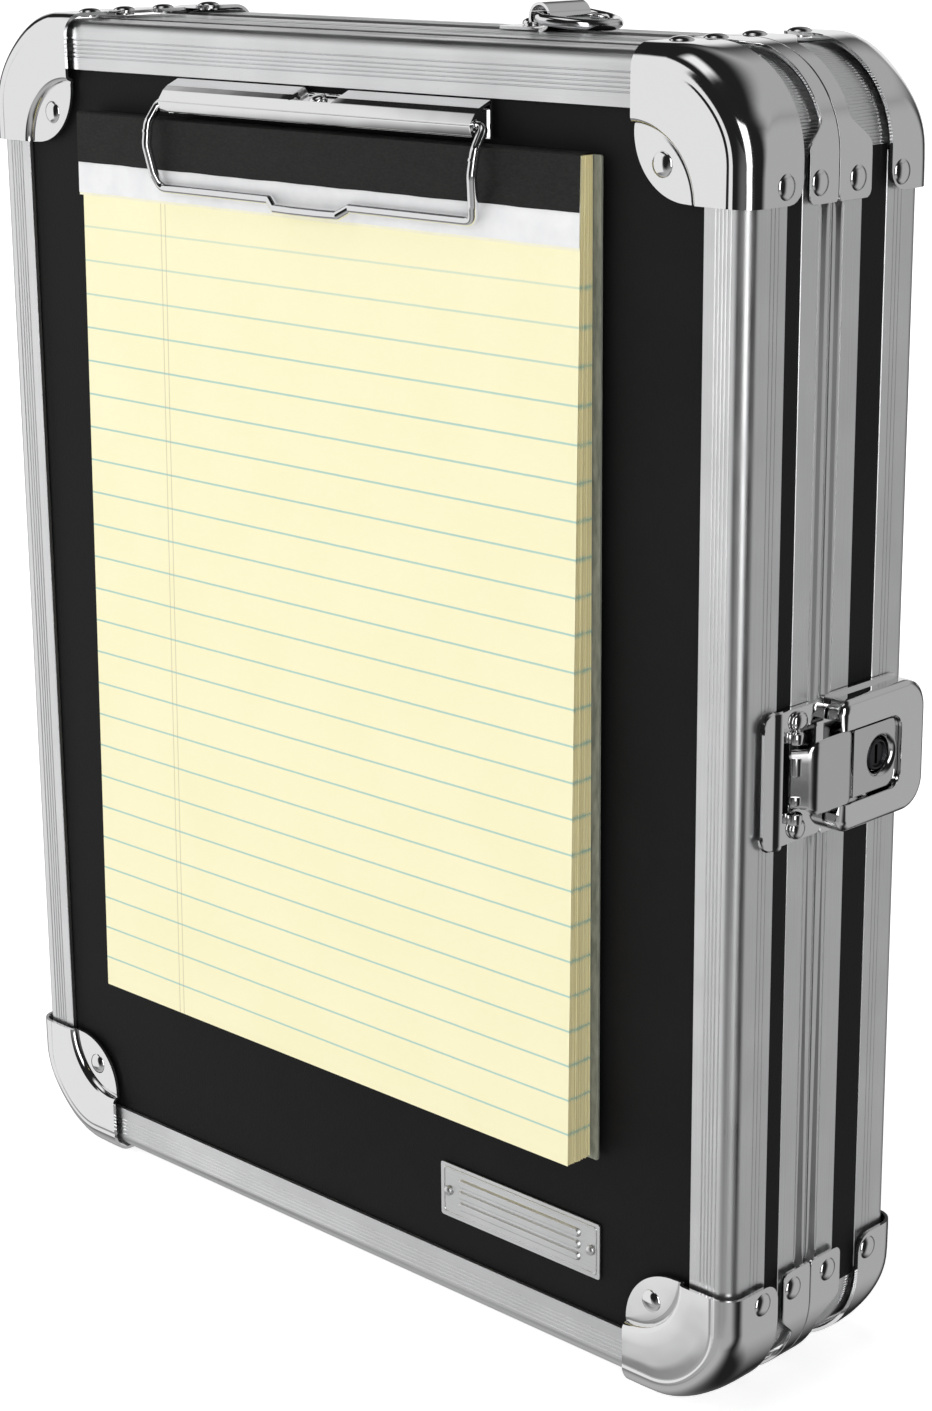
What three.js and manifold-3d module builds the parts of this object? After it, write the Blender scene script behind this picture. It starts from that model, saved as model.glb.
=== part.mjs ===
// A letter-size storage clipboard: two shallow aluminium-edged trays hinged on the left and latched on
// the right. The front tray (the lid) carries a sprung wire clip, a writing pad and a nameplate.
// Millimetres, +Z up, the front faces -Y. x and z are measured from the middle of the case, and y from
// the front of its aluminium edges.
import * as THREE from "three";
import { mergeVertices } from "three/addons/utils/BufferGeometryUtils.js";
import Module from "manifold-3d";

const wasm = await Module();
wasm.setup();

// ---- Driving dimensions ----------------------------------------------------------------------------
const WIDTH = 276;
const HEIGHT = 340;
const DEPTH = 66;
const LID_DEPTH = 30.6;
const BASE_DEPTH = DEPTH - LID_DEPTH;
const CORNER_R = 24; // the case's corners, seen from the front
const EDGE_R = 4; // the long edges between the faces and the sides
const SHEET = 1.2; // wall of the aluminium sections
const GAP = 0.3; // clearance between neighbouring pieces
const BOARD = 3; // panels and side boards
const FACE_FLANGE = 13.1;
const SIDE_FLANGE = 14.1;
const LIP = 6; // the mating frame's inward lip
const CHROME = 0.9; // pressed corners and straps
const ARC_STEPS = 3; // half the facets of a quarter turn

// Depths measured from each half's parting face, or from its outer face for the ball corners.
const LID = { name: "lid", depth: LID_DEPTH, rim: 10.9, strap: 10.9, neck: 5.1, cornerSkirt: 17.2 };
const BASE = { name: "base", depth: BASE_DEPTH, rim: 11.5, strap: 12.4, neck: 5.4, cornerSkirt: 15 };

const BALL_REACH = 33.8; // how far a ball corner runs along each edge
const BALL_INNER_R = 16;
const CUP = { x: 33.5, z: 34.5, r: 19.2, sides: 28 }; // sunk round of the corner's face, from the corner
const STRAP_REACH = 34.5;
const NECK_REACH = 18;
const POST_REACH = 22.6;
const POST_BACK = 3.4; // from a corner post's end to the parting face
const NOTCH_BACK = 2.9; // what the mating frame keeps behind the straps
const RIVET = { r: 3, height: 1.1, face: 25.2, side: 29.5, ballY: 11, strapY: 7.2 };

// ---- Materials -------------------------------------------------------------------------------------
const finish = (color, roughness, metalness) =>
  new THREE.MeshStandardMaterial({ color, roughness, metalness });
const aluminium = () => finish(0xc9cacc, 0.35, 1);
const chrome = () => finish(0xdcdcde, 0.08, 1);
const blackBoard = () => finish(0x1c1c1d, 0.6, 0);
const yellowPaper = () => finish(0xf6efc6, 0.85, 0);
const greyBoard = () => finish(0x6f7466, 0.9, 0);
const springSteel = () => finish(0x8e9092, 0.3, 1);
const darkSteel = () => finish(0x2a2a2b, 0.35, 1);

// ---- Solids ----------------------------------------------------------------------------------------
function solid(geometry) {
  const bare = geometry.index ? geometry.toNonIndexed() : geometry.clone();
  bare.deleteAttribute("normal");
  bare.deleteAttribute("uv");
  const merged = mergeVertices(bare, 1e-4);
  return new wasm.Manifold(
    new wasm.Mesh({
      numProp: 3,
      vertProperties: merged.attributes.position.array,
      triVerts: new Uint32Array(merged.index.array),
    }),
  );
}

function geometryOf(manifold) {
  const made = manifold.getMesh();
  const geometry = new THREE.BufferGeometry();
  geometry.setAttribute("position", new THREE.BufferAttribute(made.vertProperties, 3));
  geometry.setIndex(new THREE.BufferAttribute(made.triVerts, 1));
  geometry.computeVertexNormals();
  return geometry;
}

function mesh(name, shape, material) {
  const made = new THREE.Mesh(shape.isBufferGeometry ? shape : geometryOf(shape), material);
  made.name = name;
  return made;
}

const block = (x0, x1, y0, y1, z0, z1) =>
  solid(
    new THREE.BoxGeometry(x1 - x0, y1 - y0, z1 - z0).translate((x0 + x1) / 2, (y0 + y1) / 2, (z0 + z1) / 2),
  );

const extrusion = (shape, depth) =>
  new THREE.ExtrudeGeometry(shape, { depth, bevelEnabled: false, curveSegments: ARC_STEPS });

// An outline in x and z, run from y0 to y1.
const prismY = (shape, y0, y1) => solid(extrusion(shape, y1 - y0).rotateX(Math.PI / 2).translate(0, y1, 0));

// An outline in x and y, run from z0 to z1.
const prismZ = (shape, z0, z1) => solid(extrusion(shape, z1 - z0).translate(0, 0, z0));

// An outline in y and z, run from x0 to x1.
const yzToRow = new THREE.Matrix4().set(0, 0, 1, 0, 1, 0, 0, 0, 0, 1, 0, 0, 0, 0, 0, 1);
const prismX = (shape, x0, x1) => solid(extrusion(shape, x1 - x0).applyMatrix4(yzToRow).translate(x0, 0, 0));

function rod(radius, length, sides = 12) {
  return new THREE.CylinderGeometry(radius, radius, length, sides);
}
const rodX = (r, x0, x1, y, z, sides) =>
  solid(rod(r, x1 - x0, sides).rotateZ(Math.PI / 2).translate((x0 + x1) / 2, y, z));
const rodY = (r, x, y0, y1, z, sides) => solid(rod(r, y1 - y0, sides).translate(x, (y0 + y1) / 2, z));
const rodZ = (r, x, y, z0, z1, sides) =>
  solid(rod(r, z1 - z0, sides).rotateX(Math.PI / 2).translate(x, y, (z0 + z1) / 2));

// Round wire along a curve, as an eight-sided section.
function wire(route, radius, steps) {
  const section = new THREE.Shape().absarc(0, 0, radius, 0, 2 * Math.PI);
  return new THREE.ExtrudeGeometry(section, { steps, extrudePath: route, curveSegments: 4 });
}

function polygon(points) {
  const shape = new THREE.Shape();
  shape.moveTo(points[0][0], points[0][1]);
  points.slice(1).forEach(([u, v]) => shape.lineTo(u, v));
  shape.closePath();
  return shape;
}

// A rectangle u0..u1 by v0..v1 with its four corners rounded, lower left first and then anticlockwise.
function roundedRectangle(u0, u1, v0, v1, [lowLeft, lowRight, highRight, highLeft]) {
  const shape = new THREE.Shape();
  shape.moveTo(u0 + lowLeft, v0);
  shape.lineTo(u1 - lowRight, v0);
  if (lowRight) shape.absarc(u1 - lowRight, v0 + lowRight, lowRight, -Math.PI / 2, 0);
  shape.lineTo(u1, v1 - highRight);
  if (highRight) shape.absarc(u1 - highRight, v1 - highRight, highRight, 0, Math.PI / 2);
  shape.lineTo(u0 + highLeft, v1);
  if (highLeft) shape.absarc(u0 + highLeft, v1 - highLeft, highLeft, Math.PI / 2, Math.PI);
  shape.lineTo(u0, v0 + lowLeft);
  if (lowLeft) shape.absarc(u0 + lowLeft, v0 + lowLeft, lowLeft, Math.PI, 1.5 * Math.PI);
  return shape;
}

// The case's outline, drawn in by an inset, or out where the inset is negative.
function caseOutline(inset) {
  const r = CORNER_R - inset;
  const halfWidth = WIDTH / 2 - inset;
  const halfHeight = HEIGHT / 2 - inset;
  return roundedRectangle(-halfWidth, halfWidth, -halfHeight, halfHeight, [r, r, r, r]);
}

// The full case as a block whose front edges are rounded.
function roundedCase(inset, y0, y1) {
  const r = EDGE_R - inset;
  return solid(
    new THREE.ExtrudeGeometry(caseOutline(inset), {
      depth: y1 - y0,
      curveSegments: ARC_STEPS,
      bevelThickness: r,
      bevelSize: r,
      bevelOffset: -r,
      bevelSegments: ARC_STEPS,
    })
      .rotateX(Math.PI / 2)
      .translate(0, y1 + r, 0),
  );
}

// A domed rivet head with a flat crown, its foot sunk into the sheet that it holds, pointing along +Y.
function rivetHead(r = RIVET.r, height = RIVET.height) {
  const foot = -CHROME / 2;
  return new THREE.LatheGeometry(
    [
      new THREE.Vector2(0, foot),
      new THREE.Vector2(r, foot),
      new THREE.Vector2(r, 0.2 * height),
      new THREE.Vector2(0.8 * r, 0.75 * height),
      new THREE.Vector2(0.45 * r, height),
      new THREE.Vector2(0, height),
    ],
    10,
  );
}
const rivetFront = (x, y, z, r, h) => solid(rivetHead(r, h).rotateX(Math.PI).translate(x, y, z));
const rivetRight = (x, y, z, r, h) => solid(rivetHead(r, h).rotateZ(-Math.PI / 2).translate(x, y, z));
const rivetUp = (x, y, z, r, h) => solid(rivetHead(r, h).rotateX(Math.PI / 2).translate(x, y, z));

// ---- One half of the case, its outer face at y = 0 and its parting face at y = depth ---------------
const SIDES = [
  { name: "right", turn: 0, reach: WIDTH / 2, length: HEIGHT },
  { name: "top", turn: -Math.PI / 2, reach: HEIGHT / 2, length: WIDTH },
  { name: "left", turn: Math.PI, reach: WIDTH / 2, length: HEIGHT },
  { name: "bottom", turn: Math.PI / 2, reach: HEIGHT / 2, length: WIDTH },
];
const CORNERS = [
  { name: "tr", sx: 1, sz: 1 },
  { name: "tl", sx: -1, sz: 1 },
  { name: "br", sx: 1, sz: -1 },
  { name: "bl", sx: -1, sz: -1 },
];
const OUT = 2; // how far a cutting block stands outside the case

// The block of the upper right corner, out to reach from the case's sides.
const cornerBlock = (reach, y0, y1) =>
  block(WIDTH / 2 - reach, WIDTH / 2 + OUT, y0, y1, HEIGHT / 2 - reach, HEIGHT / 2 + OUT);

function panel() {
  return prismY(caseOutline(EDGE_R), SHEET + GAP, SHEET + GAP + BOARD);
}

// The rounded L section that binds a long edge, standing along z at the right.
function edgeSection(reach, length) {
  const shape = new THREE.Shape();
  shape.moveTo(reach - FACE_FLANGE, 0);
  shape.lineTo(reach - EDGE_R, 0);
  shape.absarc(reach - EDGE_R, EDGE_R, EDGE_R, -Math.PI / 2, 0);
  shape.lineTo(reach, SIDE_FLANGE);
  shape.lineTo(reach - SHEET, SIDE_FLANGE);
  shape.lineTo(reach - SHEET, EDGE_R);
  shape.absarc(reach - EDGE_R, EDGE_R, EDGE_R - SHEET, 0, -Math.PI / 2, true);
  shape.lineTo(reach - FACE_FLANGE, SHEET);
  const half = length / 2 - CORNER_R - GAP;
  return prismZ(shape, -half, half);
}

function sideBoard(reach, length, depth) {
  const outer = reach - SHEET - GAP;
  const half = length / 2 - POST_REACH - GAP;
  const front = SHEET + 2 * GAP + BOARD;
  return block(outer - BOARD, outer, front, depth - SHEET - 1.5 * GAP, -half, half);
}

function cornerPost(depth) {
  const inset = SHEET / 2;
  const front = SHEET + 2 * GAP + BOARD;
  const back = depth - POST_BACK;
  return prismY(caseOutline(inset), front, back)
    .subtract(prismY(caseOutline(SHEET + GAP + BOARD), front - OUT, back + OUT))
    .intersect(cornerBlock(POST_REACH, front, back));
}

// The mating frame: a band round the sides, notched at the corners, and a lip on the parting face.
function matingFrame({ depth, rim }) {
  const end = depth - GAP / 2;
  const band = prismY(caseOutline(0), end - rim, end).subtract(
    prismY(caseOutline(SHEET), end - rim - OUT, end - SHEET),
  );
  let frame = band.subtract(prismY(caseOutline(LIP), end - rim - OUT, end + OUT));
  const notch = cornerBlock(CORNER_R, end - rim - OUT, end - NOTCH_BACK);
  for (const { sx, sz } of CORNERS) frame = frame.subtract(notch.scale([sx, 1, sz]));
  return frame;
}

function ballCorner({ cornerSkirt }) {
  const outer = roundedCase(-GAP - CHROME, -GAP - CHROME, cornerSkirt);
  const inner = roundedCase(-GAP, -GAP, cornerSkirt + OUT);
  const low = WIDTH / 2 - BALL_REACH;
  const lowZ = HEIGHT / 2 - BALL_REACH;
  const reach = prismY(
    roundedRectangle(low, WIDTH / 2 + OUT, lowZ, HEIGHT / 2 + OUT, [BALL_INNER_R, 0, 0, 0]),
    -OUT,
    cornerSkirt,
  );
  const cupX = WIDTH / 2 - CUP.x;
  const cupZ = HEIGHT / 2 - CUP.z;
  const rise = -GAP - CHROME;
  const floor = SHEET;
  const cup = rodY(CUP.r + CHROME, cupX, rise, floor, cupZ, CUP.sides);
  const hollow = rodY(CUP.r, cupX, rise - OUT, floor - CHROME, cupZ, CUP.sides);
  const sideY = RIVET.ballY;
  return outer
    .subtract(inner)
    .add(cup)
    .subtract(hollow)
    .intersect(reach)
    .add(rivetFront(WIDTH / 2 - RIVET.face, floor - CHROME, HEIGHT / 2 - RIVET.face))
    .add(rivetRight(WIDTH / 2 + GAP + CHROME, sideY, HEIGHT / 2 - RIVET.side))
    .add(rivetUp(WIDTH / 2 - RIVET.side, sideY, HEIGHT / 2 + GAP + CHROME));
}

function cornerStrap({ depth, strap, neck }) {
  const end = depth - GAP / 2;
  const start = end - strap;
  const rivetY = depth - RIVET.strapY;
  return prismY(caseOutline(-GAP - CHROME), start, end)
    .subtract(prismY(caseOutline(-GAP), start - OUT, end + OUT))
    .intersect(cornerBlock(STRAP_REACH, start, end))
    .subtract(cornerBlock(NECK_REACH, start - OUT, end - neck))
    .add(rivetRight(WIDTH / 2 + GAP + CHROME, rivetY, HEIGHT / 2 - RIVET.side))
    .add(rivetUp(WIDTH / 2 - RIVET.side, rivetY, HEIGHT / 2 + GAP + CHROME));
}

function caseHalf(spec) {
  const half = new THREE.Group();
  half.add(mesh(`${spec.name}_panel`, panel(), blackBoard()));
  half.add(mesh(`${spec.name}_rim`, matingFrame(spec), aluminium()));
  for (const side of SIDES) {
    const pieces = [
      mesh(`${spec.name}_edge_${side.name}`, edgeSection(side.reach, side.length), aluminium()),
      mesh(`${spec.name}_wall_${side.name}`, sideBoard(side.reach, side.length, spec.depth), blackBoard()),
    ];
    for (const piece of pieces) {
      piece.rotation.y = side.turn;
      half.add(piece);
    }
  }
  for (const corner of CORNERS) {
    const pieces = [
      mesh(`${spec.name}_post_${corner.name}`, cornerPost(spec.depth), aluminium()),
      mesh(`${spec.name}_corner_${corner.name}`, ballCorner(spec), chrome()),
      mesh(`${spec.name}_strap_${corner.name}`, cornerStrap(spec), chrome()),
    ];
    for (const piece of pieces) {
      piece.scale.set(corner.sx, 1, corner.sz);
      half.add(piece);
    }
  }
  return half;
}

// ---- Clip and pad, z measured up from the case's middle --------------------------------------------
const PANEL_Y = SHEET + GAP; // the black panel's face
const CLIP = { left: -58, right: 58, top: 156.7, base: 147.2, notch: 8.4 };
const BAIL = { y: -5, z: 150.7, r: 1.15, halfWidth: 60.6, foot: 128, bow: -10 };
const PAD = { left: -95.5, right: 92, top: 145.8, bottom: -110.5, back: -0.2, board: 0.8 };
const PAD_FRONT = { top: -5.2, binding: 22, step: 0.5, bottom: -9.8 }; // y of the front sheet
const BACKING = { wide: 2.4, long: 0.6 }; // how far the grey board shows past the sheets
const NAMEPLATE = { left: 35.6, right: 93.9, low: -146.2, high: -130.3, sheet: 0.6, r: 0.8 };
const NAMEPLATE_RIVET = { inset: 3, r: 1.2, height: 0.6 };
const SPRING = { reach: 24, outer: 1.9, bore: 1.45 };

// Base plate on the panel, and a hood that rolls forward over the wire's pivot.
function clipPlate() {
  const back = PANEL_Y - GAP;
  const face = back - 1;
  const { top, base } = CLIP;
  const hood = polygon([
    [back, base],
    [back, top],
    [face, top],
    [face - 0.2, top - 1],
    [-3.8, top - 1.7],
    [-6.9, top - 3],
    [-8.3, top - 5.2],
    [-8.1, top - 7.2],
    [-7, top - 8.4],
    [-6.4, top - 7.7],
    [-7.2, top - 6.9],
    [-7.4, top - 5.3],
    [-6.3, top - 3.7],
    [-3.6, top - 2.6],
    [face, top - 2],
    [face, base],
  ]);
  const notch = prismY(
    polygon([
      [-CLIP.notch, top + 1],
      [CLIP.notch, top + 1],
      [CLIP.notch - 2, top - 1.6],
      [2 - CLIP.notch, top - 1.6],
    ]),
    -OUT,
    OUT,
  );
  return prismX(hood, CLIP.left, CLIP.right).subtract(notch);
}

// One wire: both ends lie on the pivot line, the arms bow forward, and the foot lies across the pad.
function bailWire() {
  const { y, z, halfWidth, foot, bow } = BAIL;
  const footY = PAD_FRONT.top - BAIL.r - 0.8;
  const right = [
    [4, y, z],
    [28, y, z],
    [halfWidth - 6, y, z],
    [halfWidth - 2.4, y, z],
    [halfWidth - 0.5, y - 0.4, z - 0.6],
    [halfWidth, y - 2, z - 3.2],
    [halfWidth + 0.2, bow, z - 7.5],
    [halfWidth - 0.2, bow + 0.3, z - 12],
    [halfWidth - 1.2, footY - 1, z - 19],
    [halfWidth - 2, footY, foot + 1.6],
    [halfWidth - 4.4, footY, foot],
    [halfWidth - 12, footY, foot],
    [18, footY, foot],
    [15, footY - 0.2, foot - 0.1],
    [9.5, footY - 1.6, foot - 1.4],
  ].map((p) => new THREE.Vector3(...p));
  const left = right.map((p) => new THREE.Vector3(-p.x, p.y, p.z));
  const route = new THREE.CatmullRomCurve3([...right, ...left.reverse()], false, "centripetal");
  return wire(route, BAIL.r, 76);
}

// The coil spring round the wire's two ends, as the tube that its turns fill.
function clipSpring() {
  const { reach, outer, bore } = SPRING;
  return rodX(outer, -reach, reach, BAIL.y, BAIL.z).subtract(
    rodX(bore, -reach - OUT, reach + OUT, BAIL.y, BAIL.z),
  );
}

function padSheets() {
  const back = PAD.back - PAD.board - GAP;
  return prismX(
    polygon([
      [back, PAD.bottom],
      [back, PAD.top],
      [PAD_FRONT.top, PAD.top],
      [PAD_FRONT.top - PAD_FRONT.step, PAD.top - PAD_FRONT.binding],
      [PAD_FRONT.bottom, PAD.bottom],
    ]),
    PAD.left,
    PAD.right,
  );
}

const padBacking = () =>
  block(
    PAD.left,
    PAD.right + BACKING.wide,
    PAD.back - PAD.board,
    PAD.back,
    PAD.bottom - BACKING.long,
    PAD.top,
  );

function nameplate() {
  const { left, right, low, high, sheet, r } = NAMEPLATE;
  const { inset, r: headR, height } = NAMEPLATE_RIVET;
  const back = PANEL_Y - GAP;
  const face = back - sheet;
  const middle = (low + high) / 2;
  return prismY(roundedRectangle(left, right, low, high, [r, r, r, r]), face, back)
    .add(rivetFront(left + inset, face, middle, headR, height))
    .add(rivetFront(right - inset, face, middle, headR, height));
}

// ---- Latch on the right side -----------------------------------------------------------------------
const SIDE_X = WIDTH / 2 + GAP; // the plane that the latch's plates lie on
const LATCH_Z = -1.6;
const HASP_PIN = { x: SIDE_X + 3, y: 17.6, r: 0.8 };
const HASP = { face: WIDTH / 2 + 6.9, left: 20, right: 34.4, half: 8.6, sheet: 1.2 };
const HASP_PLATE = { left: 7.2, bend: 11.2, flat: 12.6, margin: 0.9, deck: 1.6, half: 17 };
const HASP_EAR = { r: 2, reach: 3, room: 2.9 }; // knuckles on the plate, and the room round the hasp's own
const HASP_RIVET = { y: 20, z: 13.6, r: 2.6, height: 1 };
const HOOK = { left: 30.6, right: 31.8, half: 4 };
const BEZEL = { left: 31.2, right: 66, face: WIDTH / 2 + 7.5, low: -17.2, high: 16.8, r: 8, sheet: 0.8 };
const FOOT = { right: 60, below: 0.6, above: 0.8, sheet: 0.9 }; // the lock's flat base plate
const SLOT = { right: 55, low: -9.6, high: 9.4, r: 4 };
const LOCK_REAR = SIDE_X + 1.6; // where the slider and the key cylinder start
const SLIDER = { left: 36, right: 58.4, face: WIDTH / 2 + 6.4, half: 9 };
const KEY = { y: 48.2, z: LATCH_Z - 0.4, r: 4, sunk: 0.6, slotHalf: 0.5, slotReach: 2.4, slotDepth: 1.5 };
const DIMPLE = { depth: 1.2, foot: 0.3, mouth: 1.5 };

// The front half's stamped plate: a flat left margin, then a raised deck that holds the hasp's pin.
function haspPlate() {
  const { left, bend, flat, margin, half } = HASP_PLATE;
  const deck = SIDE_X + HASP_PLATE.deck;
  const section = polygon([
    [SIDE_X, left],
    [SIDE_X + margin, left],
    [SIDE_X + margin, bend],
    [deck, flat],
    [deck, LID_DEPTH - GAP],
    [SIDE_X, LID_DEPTH - GAP],
  ]);
  const ear = (z0, z1) => rodZ(HASP_EAR.r, HASP_PIN.x, HASP_PIN.y, z0, z1);
  const near = HASP.half + GAP;
  const far = HASP.half + HASP_EAR.reach;
  const rivet = (z) => rivetRight(deck, HASP_RIVET.y, z, HASP_RIVET.r, HASP_RIVET.height);
  return prismZ(section, LATCH_Z - half, LATCH_Z + half)
    .subtract(rodZ(HASP_EAR.room, HASP_PIN.x, HASP_PIN.y, LATCH_Z - near, LATCH_Z + near, 16))
    .add(ear(LATCH_Z + near, LATCH_Z + far))
    .add(ear(LATCH_Z - far, LATCH_Z - near))
    .add(rivet(LATCH_Z + HASP_RIVET.z))
    .add(rivet(LATCH_Z - HASP_RIVET.z));
}

// The hasp: a square leaf whose left edge curls down round its pin, with a hook behind it.
function hasp() {
  const { face, left, right, half, sheet } = HASP;
  const inner = face - sheet;
  const leaf = polygon([
    [face, left + 1.6],
    [face, right],
    [inner, right],
    [inner, left + 2],
    [HASP_PIN.x + 1.6, HASP_PIN.y + 1.8],
    [HASP_PIN.x, HASP_PIN.y + 2],
    [HASP_PIN.x - 0.2, HASP_PIN.y + 0.6],
    [HASP_PIN.x + 0.8, HASP_PIN.y],
    [inner, left - 0.4],
  ]);
  const hook = block(
    SIDE_X + 2.6,
    inner + 0.2,
    HOOK.left,
    HOOK.right,
    LATCH_Z - HOOK.half,
    LATCH_Z + HOOK.half,
  );
  const round = prismX(
    roundedRectangle(HASP_PIN.y - 4, right, LATCH_Z - half, LATCH_Z + half, [2, 0.4, 0.4, 2]),
    SIDE_X,
    face + OUT,
  );
  return prismZ(leaf, LATCH_Z - half, LATCH_Z + half)
    .intersect(round)
    .add(rodZ(HASP_EAR.r, HASP_PIN.x, HASP_PIN.y, LATCH_Z - half + 1, LATCH_Z + half - 1))
    .add(hook);
}

// The pressed U-shaped cover of the lock, hollow behind, on a flat base plate.
function lockBezel() {
  const { left, right, face, sheet } = BEZEL;
  const low = LATCH_Z + BEZEL.low;
  const high = LATCH_Z + BEZEL.high;
  const [small, big] = [3, BEZEL.r];
  const cover = prismX(roundedRectangle(left, right, low, high, [small, big, big, small]), SIDE_X, face);
  const inside = [left + sheet, right - sheet, low + sheet, high - sheet];
  const hollow = prismX(
    roundedRectangle(...inside, [small - 1, big - 1, big - 1, small - 1]),
    SIDE_X + 1,
    face - sheet,
  );
  const opening = [left - OUT, SLOT.right, LATCH_Z + SLOT.low, LATCH_Z + SLOT.high];
  const slot = prismX(roundedRectangle(...opening, [0, SLOT.r, SLOT.r, 0]), SIDE_X + 1, face + OUT);
  const foot = block(
    SIDE_X,
    SIDE_X + FOOT.sheet,
    left - 0.2,
    FOOT.right,
    low - FOOT.below,
    high + FOOT.above,
  );
  return cover.subtract(hollow).subtract(slot).add(foot);
}

function lockSlider() {
  const { left, right, face, half } = SLIDER;
  const outline = roundedRectangle(left, right, LATCH_Z - half, LATCH_Z + half, [0.5, 3, 3, 0.5]);
  const dimple = new THREE.LatheGeometry(
    [
      new THREE.Vector2(0, -DIMPLE.depth),
      new THREE.Vector2(KEY.r + DIMPLE.foot, -DIMPLE.depth),
      new THREE.Vector2(KEY.r + DIMPLE.mouth, 0.6),
      new THREE.Vector2(0, 0.6),
    ],
    20,
  );
  return prismX(outline, LOCK_REAR, face)
    .subtract(rodX(KEY.r + GAP, LOCK_REAR - 1, face + 1, KEY.y, KEY.z, 20))
    .subtract(solid(dimple.rotateZ(-Math.PI / 2).translate(face, KEY.y, KEY.z)));
}

function keyCylinder() {
  const { y, z, r, slotHalf, slotReach, slotDepth } = KEY;
  const face = SLIDER.face - KEY.sunk;
  const keyway = block(face - slotDepth, face + 1, y - slotHalf, y + slotHalf, z - slotReach, z + slotReach);
  return rodX(r, LOCK_REAR, face, y, z, 20).subtract(keyway);
}

// ---- Carrying ring on the top ----------------------------------------------------------------------
const TOP_Z = HEIGHT / 2 + GAP;
const RING = { x: 36, y: 48.5, z: HEIGHT / 2 + 3.7, r: 1.45, half: 10.6, reach: 16.8, drop: 1.8 };
const BRACKET = { left: 21, half: 8, roll: 3, bore: 1.9, sheet: 0.9 };

function ringBracket() {
  const { x, y, z } = RING;
  const { left, half, roll, bore, sheet } = BRACKET;
  const plate = block(left, x, y - half - 0.6, y + half + 0.6, TOP_Z, TOP_Z + sheet);
  const low = block(x - roll, x + 1, y - half, y + half, TOP_Z, z - 1);
  return rodY(roll, x, y - half, y + half, z, 16)
    .add(low)
    .add(plate)
    .subtract(rodY(bore, x, y - half - OUT, y + half + OUT, z, 16))
    .add(rivetUp(left + 5.5, y, TOP_Z + sheet, 2.6, 1.1));
}

// A closed wire D: a straight bar on the pivot line and a round bow lying towards the latch side.
function dRing() {
  const { x, y, z, half, reach, drop } = RING;
  const bow = [];
  const straight = 4;
  for (let i = 0; i <= 8; i += 1) {
    const a = Math.PI * (i / 8) - Math.PI / 2;
    const along = straight + (reach - straight) * Math.cos(a);
    bow.push(new THREE.Vector3(x + along, y + half * Math.sin(a), z - (drop * along) / reach));
  }
  const end = half - 1.6; // the bar stops short of the bow's ends
  const bar = [-end, -end / 2, end / 2, end].map((along) => new THREE.Vector3(x, y - along, z));
  const route = new THREE.CatmullRomCurve3([...bow, ...bar], true, "centripetal");
  return wire(route, RING.r, 44);
}

// ---- Hinge down the left side ----------------------------------------------------------------------
const PIVOT = { x: -WIDTH / 2 - 2.6, y: LID_DEPTH };
const HINGE = { half: 120, knuckles: 9, outer: 1.9, bore: 1.1, pin: 0.75, leaf: 0.8, width: 9, room: 0.5 };

function hingeLeaf(side) {
  const pitch = (2 * HINGE.half) / HINGE.knuckles;
  const inner = -WIDTH / 2 - GAP;
  const near = PIVOT.y + side * 0.6;
  const far = PIVOT.y + side * HINGE.width;
  const [low, high] = [Math.min(near, far), Math.max(near, far)];
  let leaf = block(inner - HINGE.leaf, inner, low, high, -HINGE.half, HINGE.half);
  for (let i = 0; i < HINGE.knuckles; i += 1) {
    const start = -HINGE.half + i * pitch;
    const end = start + pitch;
    const own = (i % 2 === 0) === side > 0;
    if (own) {
      leaf = leaf.add(rodZ(HINGE.outer, PIVOT.x, PIVOT.y, start + GAP / 2, end - GAP / 2));
    } else {
      leaf = leaf.subtract(rodZ(HINGE.outer + HINGE.room, PIVOT.x, PIVOT.y, start - GAP / 2, end + GAP / 2));
    }
  }
  return leaf.subtract(rodZ(HINGE.bore, PIVOT.x, PIVOT.y, -HINGE.half - OUT, HINGE.half + OUT));
}

const hingePin = () => rodZ(HINGE.pin, PIVOT.x, PIVOT.y, -HINGE.half - 0.8, HINGE.half + 0.8);

// ---- Assembly --------------------------------------------------------------------------------------
const lid = caseHalf(LID);
const base = caseHalf(BASE);
base.scale.y = -1;
base.position.y = DEPTH;

const assembly = new THREE.Group();
assembly.add(
  lid,
  base,
  mesh("clip_plate", clipPlate(), chrome()),
  mesh("clip_wire", bailWire(), chrome()),
  mesh("clip_spring", clipSpring(), springSteel()),
  mesh("pad_sheets", padSheets(), yellowPaper()),
  mesh("pad_backing", padBacking(), greyBoard()),
  mesh("nameplate", nameplate(), aluminium()),
  mesh("hasp_plate", haspPlate(), chrome()),
  mesh("hasp", hasp(), chrome()),
  mesh("lock_bezel", lockBezel(), chrome()),
  mesh("lock_slider", lockSlider(), chrome()),
  mesh("key_cylinder", keyCylinder(), darkSteel()),
  mesh("ring_bracket", ringBracket(), chrome()),
  mesh("d_ring", dRing(), chrome()),
  mesh("hinge_lid_leaf", hingeLeaf(-1), springSteel()),
  mesh("hinge_base_leaf", hingeLeaf(1), springSteel()),
  mesh("hinge_pin", hingePin(), springSteel()),
);

// The part's origin is the middle of the underside of the box round everything.
const extent = new THREE.Box3().setFromObject(assembly);
const middle = extent.getCenter(new THREE.Vector3());
assembly.position.set(-middle.x, -middle.y, -extent.min.z);

const clipboard = new THREE.Group();
clipboard.add(assembly);
export default clipboard;
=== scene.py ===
"""Looks for the storage clipboard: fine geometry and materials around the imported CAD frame."""

import math

import bmesh
import bpy
import numpy as np
from mathutils import Matrix, Vector

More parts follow.
